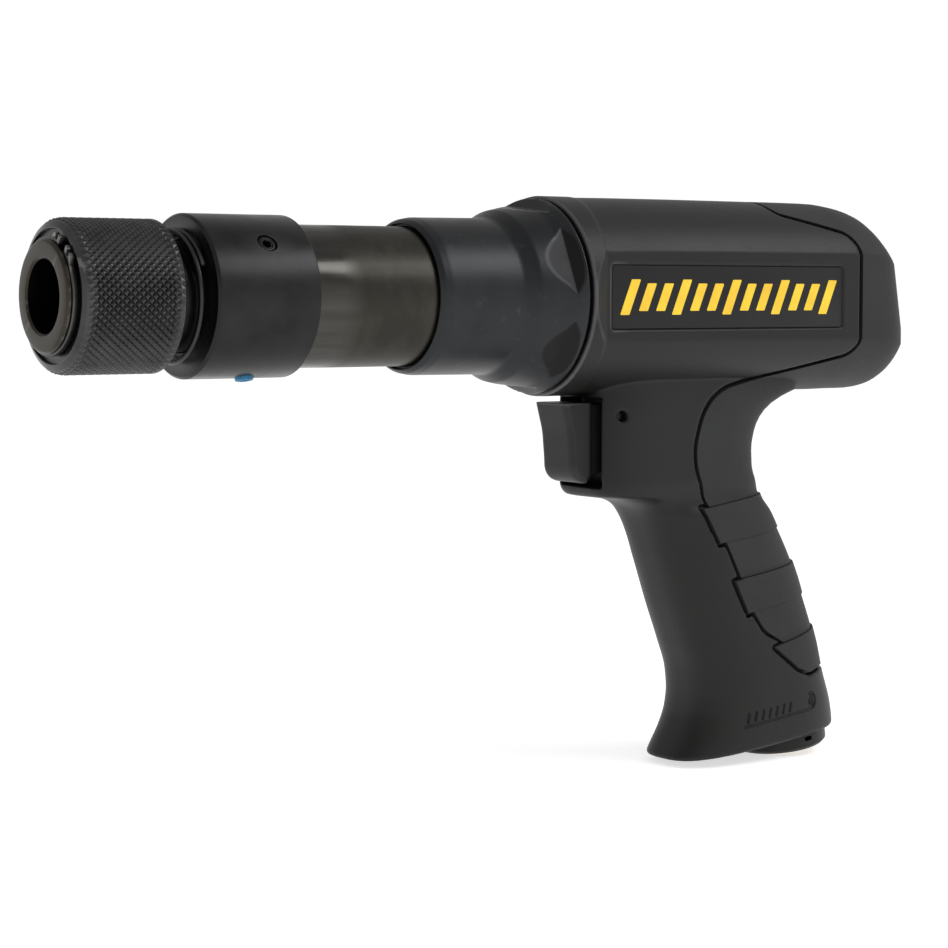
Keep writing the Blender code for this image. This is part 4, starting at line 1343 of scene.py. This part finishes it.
def trigger_pin(mat):
    half = 12.2
    start, end = place(PIVOT[0], -half, PIVOT[1]), place(PIVOT[0], half, PIVOT[1])
    profile = [(0, 0), (0, 1.45, 0.3), (2 * half, 1.45, 0.3), (2 * half, 0)]
    pin = turned_on("trigger_pin_visual", profile, mat, start, end - start, 32)
    return finish_piece(pin, "handle", "bright_steel", "trigger_pin")


# ---------------------------------------------------------------- inlet

def inlet(steel, plastic):
    foot, up = inlet_frame()
    bushing = turned_on("inlet_bushing_visual", [
        (0.4, 5.75), (0, 6.15, 0.1), (0, 10.5, 0.3), (2.6, 10.5, 0.2), (2.6, 9.0), (6.1, 9.0),
        (6.1, 8.4), (26, 8.4), (26, 5.75),
    ], steel, foot, up, 96)
    finish_piece(bushing, "handle", "brass", "inlet_bushing")
    ring = turned_on("exhaust_deflector_visual", [
        (0.2, 10.8), (0.2, DEFLECTOR_R - 1.0, 0.4), (1.2, DEFLECTOR_R, 0.5),
        (6.2, DEFLECTOR_R, 0.4), (6.2, 13.2), (3.2, 13.2), (3.2, 10.9), (6.2, 10.2), (6.2, 9.3),
        (2.9, 9.3), (2.9, 10.8),
    ], plastic, foot, up, 96)
    ahead = Vector((0, 1, 0)).cross(up)
    for k in range(6):
        turn = math.radians(88 + 60 * k)
        out = ahead * math.cos(turn) + Vector((0, 1, 0)) * math.sin(turn)
        along = out.cross(up)
        for shift in (-0.7, 0.0, 0.7):
            start = foot + up * 0.0036 + out * 0.0118 + along * shift / 1000
            cut(ring, rod("slot", start, start + out * 0.006, 0.75, plastic, 20))
    dress(bevelled(ring, 0.12, 40), plastic)
    finish_piece(ring, "deflector", "black_composite", "exhaust_deflector")


# ---------------------------------------------------------------- carried-over nodes

def paint_inner_nodes():
    """Better materials on the CAD nodes that stay."""
    looks = {
        "black_oxide_steel": oxide_steel(), "bright_steel": plain_metal(
            "visual_bright_steel", (0.42, 0.42, 0.43), 0.26),
        "brass": plain_metal("visual_brass", (0.55, 0.38, 0.14), 0.3),
        "bronze": plain_metal("visual_bronze", (0.36, 0.22, 0.10), 0.38),
        "seal_rubber": seal_rubber(), "felt": felt_fibre(), "barrel_steel": barrel_steel(),
    }
    slots = {p["node"]: p["material_slot"] for p in frame["record"]["subparts"]}
    # painted shade: the throttle bush, seen through the trigger's pocket, is made near-black bronze to
    # stand in for the shade in that hole
    slots["throttle_bush"] = "painted_shade"
    looks["painted_shade"] = plain_metal("visual_oily_bronze", (0.030, 0.022, 0.014), 0.42)
    for name, node in frame["nodes"].items():
        look = looks.get(slots.get(name))
        if look is not None and not node.hide_render:
            for k in range(len(node.material_slots)):
                node.material_slots[k].material = look
    return looks


# ---------------------------------------------------------------- camera and light

def camera():
    """Looks along the tool from its front left, a little from above, through a long lens."""
    turn, pitch = math.radians(35.03), math.atan(178 / 2500)
    right = Vector((math.cos(turn), -math.sin(turn), 0))
    level = Vector((math.sin(turn), math.cos(turn), 0))
    top = Vector((0, 0, 1))
    up = level * math.sin(pitch) + top * math.cos(pitch)
    back = top * math.sin(pitch) - level * math.cos(pitch)
    data = bpy.data.cameras.new("camera")
    data.lens, data.sensor_width = 94.71, 36.0
    data.clip_start = 0.01
    data.dof.use_dof = False
    obj = bpy.data.objects.new("camera", data)
    bpy.context.scene.collection.objects.link(obj)
    where = place(0, 0, 0) + right * 0.1083 - level * 0.6268
    turned_axes = Matrix((right, up, back)).transposed().to_4x4()
    obj.matrix_world = Matrix.Translation(where) @ turned_axes
    bpy.context.scene.camera = obj
    return where


def softbox(name, where, target, size, power, colour=(1, 1, 1)):
    data = bpy.data.lights.new(name, "AREA")
    data.shape = "RECTANGLE"
    data.size, data.size_y = size
    data.energy = power
    data.color = colour
    obj = bpy.data.objects.new(name, data)
    bpy.context.scene.collection.objects.link(obj)
    obj.location = where
    obj.rotation_euler = (Vector(target) - Vector(where)).to_track_quat("-Z", "Y").to_euler()


def floor():
    """A wide white table that glows a little, so that it stays white far from the lamps."""
    g = Graph("studio_floor", (0.8, 0.8, 0.8), 0.0, 0.9)
    g.link(g.mix(g.noise(3.0), (0.79, 0.79, 0.79), (0.81, 0.81, 0.81)), "Base Color")
    g.set("Specular IOR Level", 0.0)
    g.set("Emission Color", (1.0, 1.0, 1.0, 1.0))
    g.set("Emission Strength", 0.62)
    size = 60.0
    corners = [Vector((x, y, -0.0002)) for x, y in
               ((-size, -size), (size, -size), (size, size), (-size, size))]
    obj = build("studio_floor", corners, [[0, 1, 2, 3]], g.mat)


def studio():
    """White round the horizon and dimmer overhead, with one soft lamp to the camera's right."""
    world = bpy.data.worlds.new("studio")
    bpy.context.scene.world = world
    world.use_nodes = True
    tree = world.node_tree
    where = tree.nodes.new("ShaderNodeTexCoord")
    split = tree.nodes.new("ShaderNodeSeparateXYZ")
    fade = tree.nodes.new("ShaderNodeMapRange")
    tree.links.new(where.outputs["Generated"], split.inputs["Vector"])
    tree.links.new(split.outputs["Z"], fade.inputs["Value"])
    for socket, value in (("From Min", 0.12), ("From Max", 0.40), ("To Min", 1.03),
                          ("To Max", 0.50)):
        fade.inputs[socket].default_value = value
    tree.links.new(fade.outputs["Result"], tree.nodes["Background"].inputs["Strength"])
    tree.nodes["Background"].inputs["Color"].default_value = (1.0, 1.0, 1.0, 1.0)
    middle = (0.0, 0.0, 0.12)
    softbox("key", (0.66, -0.62, 0.90), middle, (0.85, 0.46), 5.0)
    bpy.context.scene.view_settings.view_transform = "Standard"


# ---------------------------------------------------------------- all

def main():
    oxide = oxide_steel()
    plastic = housing_plastic()
    pin_steel = plain_metal("visual_pin_steel", (0.030, 0.029, 0.028), 0.36)
    nose_ring(nose_steel())
    snap_ring(clip_steel())
    knurled_sleeve(knurl_steel())
    sleeve_spring(oxide)
    collar(oxide)
    set_screws(oxide, thread_lock())
    barrel(barrel_steel())
    front_nut(nut_steel())
    wiper_seal(seal_rubber())
    housing(plastic)
    rear_grip(grip_rubber())
    film, paint = badge_film(), badge_paint()
    badge("badge_left", -1, film, paint)
    badge("badge_right", 1, film, paint)
    trigger(plastic)
    trigger_pin(pin_steel)
    inlet(plain_metal("visual_inlet_brass", (0.55, 0.38, 0.14), 0.3), plastic)
    looks = paint_inner_nodes()
    damper_spring(looks["black_oxide_steel"])
    throttle_spring(looks["bright_steel"])
    floor()
    studio()
    camera()


main()
